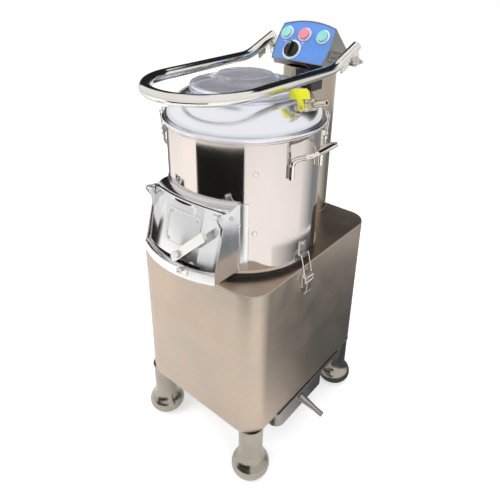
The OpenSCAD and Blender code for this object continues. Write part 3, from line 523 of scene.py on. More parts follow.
@dataclass(frozen=True)
class Coating(Finish):
    """Paint, moulded plastic or rubber.

    Attributes:
        chip: Colour where edges have worn.
        wear: How much of that shows.
        texel: Features of the surface texture per metre.
        bump: Strength of that texture.
        dust: How much dust lies on it.
        coat: Clear gloss over it.
        metallic: Share of metal in it.
        DUST_TONE: The dust's colour.
        COAT_ROUGHNESS: Roughness of the clear gloss.
        WIPED: What wiping adds to the roughness.
        TEXEL_DEPTH: Depth of the surface texture in metres.
    """

    DUST_TONE = (0.55, 0.53, 0.49)
    COAT_ROUGHNESS = 0.12
    WIPED = 0.08
    TEXEL_DEPTH = 0.0006

    chip: Colour = (0.6, 0.6, 0.6)
    wear: float = 0.3
    texel: float = 900.0
    bump: float = 0.08
    dust: float = 0.12
    coat: float = 0.0
    metallic: float = 0.0

    def build(self, effects: Effects) -> Material:
        """Makes the material.

        Args:
            effects: The shared groups.

        Returns:
            The finished material.
        """
        material, graph, shader = self.start()
        shader.inputs["Metallic"].default_value = self.metallic
        shader.inputs["Coat Weight"].default_value = self.coat
        shader.inputs["Coat Roughness"].default_value = self.COAT_ROUGHNESS
        place = graph.place()
        wear = graph.use(effects.wear, Radius=self.edge, Patch=160.0)
        dust = graph.use(effects.dust, Amount=self.dust, Scale=60.0)
        smudge = graph.use(effects.smudge, Scale=24.0)
        cloud = graph.remap(graph.noise(place, scale=22.0, detail=4.0, rough=0.6), self.CLOUD)
        colour = graph.blend(cloud, self.tint, self.shade)
        colour = graph.blend(graph.share(wear["Mask"], self.wear), colour, self.chip)
        colour = graph.blend(dust["Mask"], colour, self.DUST_TONE)
        graph.feed(colour, shader.inputs["Base Color"])
        texture = graph.noise(place, self.texel, detail=4.0, rough=0.6)
        low = self.roughness - self.spread / 2
        rough = graph.remap(texture, self.FINE, (low, low + self.spread))
        rough = graph.calc("ADD", rough, graph.share(smudge["Mask"], self.WIPED))
        graph.feed(rough, shader.inputs["Roughness"])
        self.bumped(graph, shader, texture, self.bump, self.TEXEL_DEPTH, wear["Normal"])
        return material


@dataclass(frozen=True)
class Grit(Finish):
    """Abrasive grains set in resin.

    Attributes:
        grains: Grains per metre.
        relief: Strength of their bump.
        FACETS: Distances from a grain's middle that count as its top and as its foot.
        CREST: Colour of the grains' tops.
        BARE: How much of that shows.
        DUST_TONE: Colour of what sticks between them.
        GRAIN_DEPTH: Height of the grains in metres.
    """

    FACETS = (0.0, 0.55)
    CREST = (0.34, 0.31, 0.27)
    BARE = 0.5
    DUST_TONE = (0.50, 0.44, 0.36)
    GRAIN_DEPTH = 0.0012

    grains: float = 420.0
    relief: float = 0.9

    def build(self, effects: Effects) -> Material:
        """Makes the material.

        Args:
            effects: The shared groups.

        Returns:
            The finished material.
        """
        material, graph, shader = self.start()
        place = graph.place()
        cells = graph.add("ShaderNodeTexVoronoi")
        graph.feed(place, cells.inputs["Vector"])
        cells.inputs["Scale"].default_value = self.grains
        facet = graph.remap(cells.outputs["Distance"], self.FACETS, (1.0, 0.0))
        tone = graph.remap(graph.noise(place, scale=14.0, detail=5.0), self.CLOUD)
        colour = graph.blend(tone, self.tint, self.shade)
        colour = graph.blend(graph.share(facet, self.BARE), colour, self.CREST)
        dust = graph.use(effects.dust, Amount=0.25, Scale=80.0)
        colour = graph.blend(dust["Mask"], colour, self.DUST_TONE)
        graph.feed(colour, shader.inputs["Base Color"])
        low = self.roughness - self.spread / 2
        rough = graph.remap(facet, FULL, (low + self.spread, low))
        graph.feed(rough, shader.inputs["Roughness"])
        self.bumped(graph, shader, facet, self.relief, self.GRAIN_DEPTH)
        return material


@dataclass(frozen=True)
class Clear(Finish):
    """Clear moulded plastic.

    Attributes:
        index: Its refractive index.
        haze: Strength of the moulding's ripple.
        clarity: Share of the light that passes straight through.
        TONES: The part of a broad noise that its colour follows.
        RIPPLE_DEPTH: Depth of the ripple in metres.
    """

    TONES = (0.4, 0.6)
    RIPPLE_DEPTH = 0.002

    index: float = 1.42
    haze: float = 0.04
    clarity: float = 0.86

    def build(self, effects: Effects) -> Material:
        """Makes the material.

        Args:
            effects: The shared groups.

        Returns:
            The finished material.
        """
        material, graph, shader = self.start()
        shader.inputs["Transmission Weight"].default_value = self.clarity
        shader.inputs["IOR"].default_value = self.index
        place = graph.place()
        smudge = graph.use(effects.smudge, Scale=14.0)
        wear = graph.use(effects.wear, Radius=self.edge, Patch=140.0)
        tone = graph.remap(graph.noise(place, scale=7.0), self.TONES)
        graph.feed(graph.blend(tone, self.tint, self.shade), shader.inputs["Base Color"])
        rough = graph.share(smudge["Mask"], self.spread)
        graph.feed(graph.calc("ADD", rough, self.roughness), shader.inputs["Roughness"])
        ripple = graph.noise(place, scale=16.0, detail=2.0)
        self.bumped(graph, shader, ripple, self.haze, self.RIPPLE_DEPTH, wear["Normal"])
        return material


CABINET = Steel(
    "brushed_cabinet_steel", tint=(0.56, 0.445, 0.350), shade=(0.50, 0.425, 0.350), roughness=0.33,
    spread=0.10, edge=0.0015, groove=0.10, wear=0.35, dust=0.03, streak=0.16)
COLUMN = Steel(
    "brushed_column_steel", tint=(0.47, 0.39, 0.31), shade=(0.40, 0.35, 0.29), roughness=0.20,
    spread=0.06, edge=0.001, lay=Lay.UPRIGHT, dust=0.02, streak=0.16)
HEAD = Steel(
    "brushed_head_steel", tint=(0.30, 0.285, 0.27), shade=(0.24, 0.23, 0.22), roughness=0.24,
    spread=0.08, edge=0.001, groove=0.06, wear=0.35, dust=0.02)
DRUM = Steel(
    "polished_drum_steel", tint=(0.70, 0.625, 0.580), shade=(0.67, 0.605, 0.570), roughness=0.07,
    spread=0.03, lay=Lay.SPUN, groove=0.006, dust=0.01, streak=0.02)
DOME = Steel(
    "polished_lid_steel", tint=(0.87, 0.87, 0.90), shade=(0.82, 0.83, 0.88), roughness=0.20,
    spread=0.05, lay=Lay.SPUN, groove=0.010, dust=0.01, streak=0.04)
BAR = Steel(
    "polished_bar_steel", tint=(0.80, 0.775, 0.73), shade=(0.74, 0.715, 0.68), roughness=0.08,
    spread=0.03, edge=0.0006, lay=Lay.NONE, groove=0.012, wear=0.2, dust=0.01, streak=0.03)
CHUTE = Steel(
    "polished_chute_steel", tint=(0.82, 0.81, 0.80), shade=(0.76, 0.76, 0.77), roughness=0.14,
    spread=0.05, lay=Lay.UPRIGHT, groove=0.02, wear=0.45, dust=0.01, streak=0.08)
FOOT = Steel(
    "spun_foot_steel", tint=(0.46, 0.415, 0.35), shade=(0.36, 0.33, 0.28), roughness=0.20,
    spread=0.08, lay=Lay.UPRIGHT, dust=0.03)
TRAY = Steel(
    "tray_steel", tint=(0.44, 0.41, 0.38), shade=(0.34, 0.32, 0.30), roughness=0.26, spread=0.08,
    edge=0.0006, wear=0.4)
FITTING = Steel(
    "bright_fitting_steel", tint=(0.78, 0.76, 0.72), shade=(0.68, 0.66, 0.63), roughness=0.16,
    spread=0.08, edge=0.0004, lay=Lay.NONE, groove=0.03, wear=0.35, dust=0.02, streak=0.12)
WELD = Steel(
    "weld_scale_steel", tint=(0.62, 0.57, 0.50), shade=(0.40, 0.36, 0.34), roughness=0.26,
    spread=0.12, edge=0.0003, lay=Lay.NONE, groove=0.08, dust=0.02)
INNER = Steel(
    "mill_steel", tint=(0.56, 0.55, 0.53), shade=(0.45, 0.44, 0.42), roughness=0.42, spread=0.14,
    edge=0.0006, groove=0.10, wear=0.35, dust=0.12)
SHAFT = Steel(
    "ground_shaft_steel", tint=(0.70, 0.69, 0.67), shade=(0.60, 0.59, 0.57), roughness=0.22,
    spread=0.08, edge=0.0004, lay=Lay.SPUN, groove=0.04)
BRASS = Steel(
    "plated_valve_brass", tint=(0.78, 0.72, 0.62), shade=(0.66, 0.59, 0.48), roughness=0.20,
    spread=0.10, edge=0.0004, lay=Lay.NONE, groove=0.04, wear=0.4)
IRON = Coating(
    "cast_iron", tint=(0.13, 0.135, 0.14), shade=(0.09, 0.092, 0.095), roughness=0.62, spread=0.2,
    edge=0.001, chip=(0.42, 0.40, 0.38), wear=0.5, texel=700.0, bump=0.35, dust=0.2, metallic=0.4)
MOTOR_PAINT = Coating(
    "motor_enamel", tint=(0.085, 0.16, 0.27), shade=(0.06, 0.12, 0.21), roughness=0.38, spread=0.12,
    edge=0.001, chip=(0.4, 0.42, 0.44), wear=0.5, bump=0.18, dust=0.22, coat=0.2)
RUBBER = Coating(
    "black_rubber", tint=(0.012, 0.012, 0.013), shade=(0.022, 0.021, 0.021), roughness=0.62,
    spread=0.14, edge=0.0006, chip=(0.09, 0.09, 0.09), wear=0.5, texel=1400.0, bump=0.2, dust=0.06)
SWITCH_BOX = Coating(
    "dark_switch_plastic", tint=(0.055, 0.056, 0.060), shade=(0.040, 0.041, 0.044), roughness=0.48,
    spread=0.12, chip=(0.62, 0.62, 0.6), texel=1500.0, bump=0.12, dust=0.16)
BLACK = Coating(
    "black_knob_plastic", tint=(0.005, 0.005, 0.006), shade=(0.010, 0.010, 0.010), roughness=0.30,
    spread=0.08, edge=0.0005, chip=(0.08, 0.08, 0.08), wear=0.4, texel=2200.0, bump=0.06, dust=0.01)
PANEL = Coating(
    "blue_panel_film", tint=(0.080, 0.215, 0.590), shade=(0.100, 0.245, 0.640), roughness=0.34,
    spread=0.06, edge=0.0003, chip=(0.70, 0.76, 0.86), wear=0.6, texel=1200.0, bump=0.03, dust=0.01,
    coat=0.10)
WHITE = Coating(
    "white_ring_plastic", tint=(0.80, 0.83, 0.87), shade=(0.72, 0.76, 0.82), roughness=0.24,
    spread=0.06, edge=0.0005, chip=(0.9, 0.92, 0.94), texel=1800.0, bump=0.04, dust=0.03, coat=0.3)
GREEN = Coating(
    "green_button_plastic", tint=(0.20, 0.56, 0.52), shade=(0.26, 0.63, 0.58), roughness=0.24,
    spread=0.06, edge=0.0006, chip=(0.55, 0.80, 0.76), wear=0.5, texel=1800.0, bump=0.05, dust=0.03,
    coat=0.4)
RED = Coating(
    "red_button_plastic", tint=(0.74, 0.17, 0.22), shade=(0.80, 0.24, 0.28), roughness=0.24,
    spread=0.06, edge=0.0006, chip=(0.92, 0.60, 0.60), wear=0.5, texel=1800.0, bump=0.05, dust=0.03,
    coat=0.4)
YELLOW = Coating(
    "yellow_lever_sleeve", tint=(0.86, 0.86, 0.015), shade=(0.78, 0.76, 0.02), roughness=0.36,
    spread=0.10, edge=0.0006, chip=(0.95, 0.94, 0.35), wear=0.4, texel=1500.0, bump=0.06, dust=0.04,
    coat=0.2)
INK = Coating(
    "white_print", tint=(0.86, 0.88, 0.90), shade=(0.80, 0.83, 0.86), roughness=0.5, spread=0.1,
    edge=0.0001, chip=(0.9, 0.9, 0.9), wear=0.1, texel=2000.0, bump=0.02, dust=0.0)
GRIT = Grit(
    "abrasive_grit", tint=(0.085, 0.075, 0.065), shade=(0.13, 0.115, 0.098), roughness=0.85,
    spread=0.2)
CLEAR = Clear(
    "clear_cover_plastic", tint=(0.93, 0.93, 0.985), shade=(0.87, 0.875, 0.97), roughness=0.025,
    spread=0.04, edge=0.001)


# ---------------------------------------------------------------- workshop


def finished(name: str, shape: Shape) -> bpy.types.Mesh:
    """Turns a shape into a mesh.

    Args:
        name: The mesh's name.
        shape: The shape, which is freed.

    Returns:
        The mesh.
    """
    mesh = bpy.data.meshes.new(name)
    shape.to_mesh(mesh)
    shape.free()
    return mesh


def placed(name: str, data: bpy.types.ID) -> bpy.types.Object:
    """Puts a new object into the scene.

    Args:
        name: Its name.
        data: Its mesh, letters, lamp or camera.

    Returns:
        The object.
    """
    made = bpy.data.objects.new(name, data)
    bpy.context.scene.collection.objects.link(made)
    return made


class Workshop:
    """Finishes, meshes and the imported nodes, for the sub-assemblies to use.

    Attributes:
        SMOOTH_LIMIT: Angle in degrees above which an edge stays sharp.
        GRID: Places per metre; corners on the same one count as one corner.
        NO_AREA: The least that a triangle's normal is divided by.
        NO_LENGTH: The least that a length is divided by.
    """

    SMOOTH_LIMIT = 38.0
    GRID = 2e5
    NO_AREA = 1e-18
    NO_LENGTH = 1e-12

    def __init__(self, frame: dict) -> None:
        """Keeps the frame and builds the shared effects.
        """
        self.nodes: dict[str, bpy.types.Object] = frame["nodes"]
        self.effects = Effects()
        self._made: dict[str, Material] = {}
        spin = next(joint for joint in frame["joints"] if joint["name"] == "disc_spin")
        self.axis = Vector(spin["pos_m"]) * Vector((1, 1, 0))

    def at(self, x: float, y: float, z: float) -> Vector:
        """Returns the point that lies x, y and z millimetres from the drum's axis on the floor."""
        return self.axis + Vector((x, y, z)) * MM

    def plane(self, x: float, y: float, z: float, tip: float, about: str = "X") -> Matrix:
        """Returns a plane's place, tipped by some degrees about X or Y; Z points out of it."""
        return Matrix.Translation(self.at(x, y, z)) @ Matrix.Rotation(math.radians(tip), 4, about)

    def material(self, finish: Finish) -> Material:
        """Returns a finish's material, made on first use.

        Args:
            finish: The finish.

        Returns:
            Its material.
        """
        if finish.name not in self._made:
            self._made[finish.name] = finish.build(self.effects)
        return self._made[finish.name]

    def dress(self, finish: Finish, *names: str) -> None:
        """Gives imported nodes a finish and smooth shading.

        Args:
            finish: The finish.
            *names: The nodes.
        """
        material = self.material(finish)
        for name in names:
            node = self.nodes[name]
            if not node.material_slots:
                node.data.materials.append(material)
            for place in node.material_slots:
                place.material = material
            self.soften(node.data)
            LOG.info("dressed %s in %s", name, finish.name)

    def soften(self, mesh: bpy.types.Mesh) -> None:
        """Shades a triangle mesh smoothly where its faces meet at a low angle.

        Args:
            mesh: The mesh; no vertex of it moves.
        """
        count = len(mesh.polygons)
        corners = np.empty(count * 3, np.int64)
        mesh.loops.foreach_get("vertex_index", corners)
        places = np.empty(len(mesh.vertices) * 3)
        mesh.vertices.foreach_get("co", places)
        places = places.reshape(-1, 3)
        points = places[corners].reshape(count, 3, 3)
        sides = points[:, [1, 2, 0]] - points
        flat = np.cross(sides[:, 0], -sides[:, 2])
        flat /= np.maximum(np.linalg.norm(flat, axis=1, keepdims=True), self.NO_AREA)
        lengths = np.maximum(np.linalg.norm(sides, axis=2), self.NO_LENGTH)
        turn = -(sides * sides[:, [2, 0, 1]]).sum(2) / (lengths * lengths[:, [2, 0, 1]])
        weight = np.arccos(np.clip(turn, -1, 1)).reshape(-1)
        normals = np.repeat(flat, 3, axis=0)
        rounded = np.round(places[corners] * self.GRID).astype(np.int64)
        cluster = np.unique(rounded, axis=0, return_inverse=True)[1].reshape(-1)
        order = np.argsort(cluster, kind="stable")
        sizes = np.bincount(cluster)
        starts = np.concatenate(([0], np.cumsum(sizes)[:-1]))
        own_size = sizes[cluster[order]]
        own_start = starts[cluster[order]]
        rank = np.arange(len(order)) - own_start
        total = np.zeros_like(normals)
        near = math.cos(math.radians(self.SMOOTH_LIMIT))
        for shift in range(int(sizes.max())):
            live = np.nonzero(own_size > shift)[0]
            mate = order[own_start[live] + (rank[live] + shift) % own_size[live]]
            mine = order[live]
            alike = (normals[mine] * normals[mate]).sum(1) > near
            total[mine] += normals[mate] * (weight[mate] * alike)[:, None]
        total /= np.maximum(np.linalg.norm(total, axis=1, keepdims=True), self.NO_LENGTH)
        mesh.polygons.foreach_set("use_smooth", np.ones(count, bool))
        mesh.normals_split_custom_set(total.tolist())

    def piece(self, name: str, shape: Shape, finish: Finish, body: str,
              smooth: bool = True) -> bpy.types.Object:
        """Turns a shape into a piece that rides on a body.

        Args:
            name: The piece's name.
            shape: Its mesh, which is freed.
            finish: Its finish.
            body: The body it rides on.
            smooth: Whether it is shaded smoothly.

        Returns:
            The new object.
        """
        bmesh.ops.recalc_face_normals(shape, faces=shape.faces)
        mesh = finished(name, shape)
        mesh.polygons.foreach_set("use_smooth", [smooth] * len(mesh.polygons))
        mesh.materials.append(self.material(finish))
        made = placed(name, mesh)
        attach(made, body)
        LOG.info("built %s on %s", name, body)
        return made


def skin(shape: Shape, first: Sequence[bmesh.types.BMVert],
         second: Sequence[bmesh.types.BMVert]) -> None:
    """Joins two closed rows of points by faces.

    Args:
        shape: The mesh that they are in.
        first: One row.
        second: The row after it.
    """
    for index in range(len(first)):
        after = (index + 1) % len(first)
        shape.faces.new((first[index], first[after], second[after], second[index]))


@dataclass(frozen=True)
class Bead:
    """A run of overlapping weld scales, or a plain raised rim; lengths in millimetres.

    Attributes:
        half: Half its width.
        ripple: Depth of the scales as a share of that.
        pitch: Length of one scale.
        SIDES: Corners of its section.
        STEPS: Sections in one scale.
        END: What an open end keeps of the width.
        UPRIGHT: Below this tilt from upright a section turns by X instead.
    """

    SIDES = 8
    STEPS = 4
    END = 0.35
    UPRIGHT = 1e-3

    half: float
    ripple: float = 0.22
    pitch: float = 2.2

    def spaced(self, path: Sequence[Vector], closed: bool) -> list[Vector]:
        """Returns the places of the sections, evenly spaced.

        Args:
            path: The centre line's corners.
            closed: Whether its ends meet.

        Returns:
            The places.
        """
        turns = list(path) + ([path[0]] if closed else [])
        lengths = [0.0]
        for first, second in zip(turns, turns[1:]):
            lengths.append(lengths[-1] + (second - first).length)
        count = max(1, round(lengths[-1] / (self.pitch * MM))) * self.STEPS
        places = []
        for index in range(count if closed else count + 1):
            want = lengths[-1] * index / count
            part = min(max(bisect_left(lengths, want), 1), len(turns) - 1) - 1
            span = lengths[part + 1] - lengths[part] or 1.0
            places.append(turns[part].lerp(turns[part + 1], (want - lengths[part]) / span))
        return places

    def lay(self, shape: Shape, path: Sequence[Vector], closed: bool) -> None:
        """Adds the bead along a path.

        Args:
            shape: The mesh that it goes into.
            path: Its centre line.
            closed: Whether its ends meet.
        """
        points = self.spaced(path, closed)
        count = len(points)
        rings = []
        for index, point in enumerate(points):
            ahead = points[(index + 1) % count] if closed or index + 1 < count else point
            behind = points[index - 1] if closed or index else point
            along = (ahead - behind).normalized()
            side = along.cross(UP)
            side = side.normalized() if side.length > self.UPRIGHT else Vector((1, 0, 0))
            up = side.cross(along).normalized()
            swell = self.half * MM * (1 - self.ripple * (index % self.STEPS) / self.STEPS)
            if not closed and index in (0, count - 1):
                swell *= self.END
            turns = (2 * math.pi * k / self.SIDES for k in range(self.SIDES))
            rings.append([
                shape.verts.new(point + side * math.cos(a) * swell + up * math.sin(a) * swell)
                for a in turns])
        for first, second in zip(rings, rings[1:] + rings[:1] if closed else rings[1:]):
            skin(shape, first, second)
        if not closed:
            shape.faces.new(rings[0])
            shape.faces.new(tuple(reversed(rings[-1])))


@dataclass(frozen=True)
class ScrewHead:
    """A domed screw or bolt head; lengths in millimetres.

    Attributes:
        radius: Its radius.
        height: Its height.
        cross: Whether it has a cross recess.
        skirt: Height of its upright edge, as a share of the height.
        slot: Half the recess's width, as a share of the radius.
        arm: Reach of the recess, as a share of the radius.
        depth: Depth of the recess, as a share of the height.
        SIDES: Corners round it.
        ROWS: Rows of its dome.
    """

    SIDES = 48
    ROWS = 11

    radius: float
    height: float
    cross: bool = True
    skirt: float = 0.45
    slot: float = 0.13
    arm: float = 0.62
    depth: float = 0.5

    def add(self, shape: Shape, place: Matrix) -> None:
        """Adds the head.

        Args:
            shape: The mesh that it goes into.
            place: Where it stands; Z points out of it.
        """
        radius, height = self.radius * MM, self.height * MM
        rows = [(radius, 0.0), (radius, height * self.skirt)]
        for row in range(1, self.ROWS):
            reach = radius * (1 - row / self.ROWS)
            dome = math.sqrt(1 - (reach / radius) ** 2)
            rows.append((reach, height * (self.skirt + (1 - self.skirt) * dome)))
        grid = []
        for index, (reach, rise) in enumerate(rows):
            verts = []
            for step in range(self.SIDES):
                angle = 2 * math.pi * step / self.SIDES
                x, y = reach * math.cos(angle), reach * math.sin(angle)
                short, long = sorted((abs(x), abs(y)))
                inside = short < self.slot * radius and long < self.arm * radius
                sunk = self.depth * height if self.cross and index > 1 and inside else 0.0
                verts.append(shape.verts.new(place @ Vector((x, y, rise - sunk))))
            grid.append(verts)
        for first, second in zip(grid, grid[1:]):
            skin(shape, first, second)
        shape.faces.new(grid[-1])
        shape.faces.new(tuple(reversed(grid[0])))


def ring_path(centre: Vector, radius: float, normal: Vector = UP, arc: Range = (0.0, 360.0),
              count: int = 96) -> list[Vector]:
    """Returns points on a circle or an arc of it.

    Args:
        centre: The circle's centre.
        radius: Its radius in millimetres.
        normal: Its axis.
        arc: First and last angle in degrees.
        count: How many points a full turn has.

    Returns:
        The points.
    """
    turn = UP.rotation_difference(normal)
    span = arc[1] - arc[0]
    steps = round(count * span / 360)
    reach = radius * MM
    angles = (math.radians(arc[0] + span * i / steps) for i in range(steps + (span < 360)))
    return [centre + turn @ Vector((math.cos(a) * reach, math.sin(a) * reach, 0)) for a in angles]


def strip(shape: Shape, across: Range, along: Range, thick: float, place: Matrix) -> None:
    """Adds a thin rectangle; lengths in millimetres.

    Args:
        shape: The mesh that it goes into.
        across: Its left and right edge.
        along: Its lower and upper edge.
        thick: Its thickness.
        place: Takes its own plane to the frame.
    """
    (left, right), (low, high) = across, along
    turns = ((left, low), (right, low), (right, high), (left, high))
    bottom, top = ([shape.verts.new(place @ Vector((x * MM, y * MM, z * MM))) for x, y in turns]
                   for z in (0.0, thick))
    shape.faces.new(top)
    shape.faces.new(tuple(reversed(bottom)))
    skin(shape, bottom, top)


def lettering(shape: Shape, words: str, size: float, thick: float, place: Matrix) -> None:
    """Adds printed letters; lengths in millimetres.

    Args:
        shape: The mesh that they go into.
        words: What they say.
        size: Their height.
        thick: Half their thickness.
        place: Their middle; they read along X and rise along Y.
    """
    curve = bpy.data.curves.new("letters", "FONT")
    curve.body, curve.size, curve.extrude = words, size * MM, thick * MM
    curve.align_x = curve.align_y = "CENTER"
    holder = placed("letters", curve)
    graph = bpy.context.evaluated_depsgraph_get()
    mesh = bpy.data.meshes.new_from_object(holder.evaluated_get(graph))
    mesh.transform(place)
    shape.from_mesh(mesh)
    bpy.data.meshes.remove(mesh)
    bpy.data.objects.remove(holder)
    bpy.data.curves.remove(curve)


# ---------------------------------------------------------------- sub-assemblies


class SubAssembly:
    """What every sub-assembly has; X, Y and Z are millimetres from the drum's axis and floor."""

    def build(self, shop: Workshop) -> None:
        """Adds the pieces that model.glb leaves to this script; some have none."""

    def dress(self, shop: Workshop) -> None:
        """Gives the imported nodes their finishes."""


@dataclass
class Cabinet(SubAssembly):
    """The cabinet, its frame, feet and rear cover.

    Attributes:
        leg_x: The legs' distance from the middle.
        leg_rows: Where the front and rear legs stand.
        leg_top: Where they meet the cabinet.
        leg_r: Their radius.
        weld: The bead round a leg's top.
        weld_out: How far its centre line stands out from the leg.
        weld_drop: How far it lies below the leg's top.
    """

    leg_x: float = 163.0
    leg_rows: Range = (-154.0, 263.5)
    leg_top: float = 162.0
    leg_r: float = 31.0
    weld: Bead = Bead(1.7)
    weld_out: float = 0.5
    weld_drop: float = 1.0

    def build(self, shop: Workshop) -> None:
        """Lays a weld round the top of each leg.

        Args:
            shop: Takes the pieces that this makes.
        """
        shape = bmesh.new()
        for x in (-self.leg_x, self.leg_x):
            for y in self.leg_rows:
                top = shop.at(x, y, self.leg_top - self.weld_drop)
                self.weld.lay(shape, ring_path(top, self.leg_r + self.weld_out), True)
        shop.piece("leg_welds", shape, WELD, "machine")

    def dress(self, shop: Workshop) -> None:
        """Gives the cabinet's nodes their finishes.

        Args:
            shop: Has the nodes and makes their finishes.
        """
        shop.dress(CABINET, "cabinet_shell")
        shop.dress(INNER, "base_frame", "rear_cover", "motor_plate")
        shop.dress(FOOT, "leg_tubes", "bell_feet")
        shop.dress(FITTING, "cover_screws")
        shop.dress(RUBBER, "cable_gland")
        shop.dress(SWITCH_BOX, "electrical_box")


@dataclass
class WasteTray(SubAssembly):
    """The pull-out tray and its drain spout.

    Attributes:
        root: Where the spout's centre line leaves the tray.
        droop: How far the spout points down, in degrees.
        collar_r: Radius of its collar.
        weld: The bead round the collar.
        weld_out: How far its centre line stands out from the collar.
    """

    root: tuple[float, float, float] = (188.2, 25.0, 127.0)
    droop: float = 13.0
    collar_r: float = 13.5
    weld: Bead = Bead(1.4)
    weld_out: float = 0.3

    def build(self, shop: Workshop) -> None:
        """Lays the weld round the spout's collar.

        Args:
            shop: Takes the pieces that this makes.
        """
        shape = bmesh.new()
        lean = math.radians(self.droop)
        along = Vector((math.cos(lean), 0.0, -math.sin(lean)))
        path = ring_path(shop.at(*self.root), self.collar_r + self.weld_out, along)
        self.weld.lay(shape, path, True)
        shop.piece("spout_weld", shape, WELD, "tray")

    def dress(self, shop: Workshop) -> None:
        """Gives the tray its finish."""
        shop.dress(TRAY, "drain_tray")


@dataclass
class Drum(SubAssembly):
    """The peeling drum, its base, liner and handles.

    Attributes:
        radius: The drum's radius.
        leg_y: A handle leg's distance from the handle's middle.
        leg_span: Lowest and highest point of its welds.
        weld: The bead on each flank of a leg.
        flank: How far that bead is from the leg's middle, round the drum.
        weld_out: How far its centre line stands out from the drum.
    """

    radius: float = 180.0
    leg_y: float = 55.0
    leg_span: Range = (811.0, 850.0)
    weld: Bead = Bead(1.5)
    flank: float = 3.6
    weld_out: float = 0.8

    def build(self, shop: Workshop) -> None:
        """Lays a weld along both flanks of each handle leg.

        Args:
            shop: Takes the pieces that this makes.
        """
        shape = bmesh.new()
        reach = self.radius + self.weld_out
        for side in (-1, 1):
            for end in (-self.leg_y, self.leg_y):
                middle = math.atan2(end, side * math.sqrt(self.radius ** 2 - end ** 2))
                for flank in (-self.flank, self.flank):
                    angle = middle + flank / self.radius
                    foot = (reach * math.cos(angle), reach * math.sin(angle))
                    self.weld.lay(shape, [shop.at(*foot, z) for z in self.leg_span], False)
        shop.piece("handle_welds", shape, WELD, "machine")

    def dress(self, shop: Workshop) -> None:
        """Gives the drum's nodes their finishes.

        Args:
            shop: Has the nodes and makes their finishes.
        """
        shop.dress(DRUM, "drum_shell")
        shop.dress(BAR, "drum_handles")
        shop.dress(FITTING, "liner_bolts")
        shop.dress(INNER, "drum_base")
        shop.dress(RUBBER, "seal_ring", "shaft_seal", "drive_belt")
        shop.dress(GRIT, "abrasive_liner", "abrasive_disc")
        shop.dress(SHAFT, "main_shaft", "disc_nut", "shaft_bearings", "motor_shaft")
        shop.dress(IRON, "bearing_housing", "large_pulley", "small_pulley")
        shop.dress(MOTOR_PAINT, "motor")


@dataclass
class Outlet(SubAssembly):
    """The outlet chute, its door, lever and catch.

    Attributes:
        cheek_x: The cheek's outer face.
        cheek_bolts: Y and Z of the two bolts in each cheek.
        bolt: One of them.
        door_foot: Y and Z of the door's own origin.
        lean: The door's lean from upright, in degrees.
        bow: Radius of the door's bow.
        raised: How far the raised plate's face stands out from that.
        screw_x: Where the plate's screws are across it.
        screw_up: And up it.
        screw: One of them.
        edges: Left, right, lower and upper edge of the plate's raised rim.
        chamfer: Size of the rim's cut corners.
        rim: The rim's own section.
        SIDE_STEPS: Points along each side of the rim.
    """

    SIDE_STEPS = 8

    cheek_x: float = 112.0
    cheek_bolts: tuple[Range, Range] = ((-169.9, 738.8), (-147.6, 710.2))
    bolt: ScrewHead = ScrewHead(4.6, 3.4, cross=False)
    door_foot: Range = (-236.0, 628.0)
    lean: float = 14.4
    bow: float = 300.0
    raised: float = 2.3
    screw_x: Range = (-24.0, 52.0)
    screw_up: Range = (41.0, 103.0)
    screw: ScrewHead = ScrewHead(3.9, 2.0)
    edges: tuple[float, float, float, float] = (-30.5, 58.5, 34.5, 109.5)
    chamfer: float = 9.0
    rim: Bead = Bead(1.7, ripple=0.0, pitch=8.0)

    def on_plate(self, x: float, up: float) -> Vector:
        """Returns the point of the plate's face there, in the door's own plane."""
        return Vector((x, self.bow - math.sqrt((self.bow + self.raised) ** 2 - x * x), up)) * MM

    def rim_path(self, door: Matrix) -> list[Vector]:
        """Returns the line round the plate's edge, with its cut corners.

        Args:
            door: The door's own place.

        Returns:
            The line's points.
        """
        left, right, low, high = self.edges
        cut = self.chamfer
        turns = [(left + cut, low), (right - cut, low), (right, low + cut), (right, high - cut),
                 (right - cut, high), (left + cut, high), (left, high - cut), (left, low + cut)]
        path = []
        for first, second in zip(turns, turns[1:] + turns[:1]):
            for step in range(self.SIDE_STEPS):
                x, up = (a + (b - a) * step / self.SIDE_STEPS for a, b in zip(first, second))
                path.append(door @ self.on_plate(x, up))
        return path

    def build(self, shop: Workshop) -> None:
        """Puts the bolts into the cheeks, and the screws and the rim onto the door's plate.

        Args:
            shop: Takes the pieces that this makes.
        """
        shape = bmesh.new()
        for side in (-1, 1):
            for y, z in self.cheek_bolts:
                self.bolt.add(shape, shop.plane(side * self.cheek_x, y, z, side * 90, "Y"))
        shop.piece("cheek_bolts", shape, FITTING, "machine")
        shape = bmesh.new()
        door = shop.plane(0, *self.door_foot, -self.lean)
        for x in self.screw_x:
            lean = math.asin(x / (self.bow + self.raised))
            facing = Matrix.Rotation(lean, 4, "Z") @ Matrix.Rotation(math.pi / 2, 4, "X")
            for up in self.screw_up:
                spot = Matrix.Translation(self.on_plate(x, up))
                self.screw.add(shape, door @ spot @ facing)
        shop.piece("plate_screws", shape, FITTING, "door")
        shape = bmesh.new()
        self.rim.lay(shape, self.rim_path(door), True)
        shop.piece("plate_rim", shape, CHUTE, "door")

    def dress(self, shop: Workshop) -> None:
        """Gives the outlet's nodes their finishes."""
        shop.dress(CHUTE, "discharge_hood", "discharge_door", "door_plate")
        shop.dress(FITTING, "lock_catch", "door_pins", "door_lever")


class Latches(SubAssembly):
    """The side toggle latches and the lid clips."""

    def dress(self, shop: Workshop) -> None:
        """Gives the latches and clips their finish.

        Args:
            shop: Has the nodes and makes their finishes.
        """
        shop.dress(FITTING, "strike_hooks", "latch_plates")
        for side in ("right", "left"):
            shop.dress(FITTING, *(f"{part}_{side}" for part in (
                "latch_lever", "latch_bail", "clip_wire", "clip_lever")))


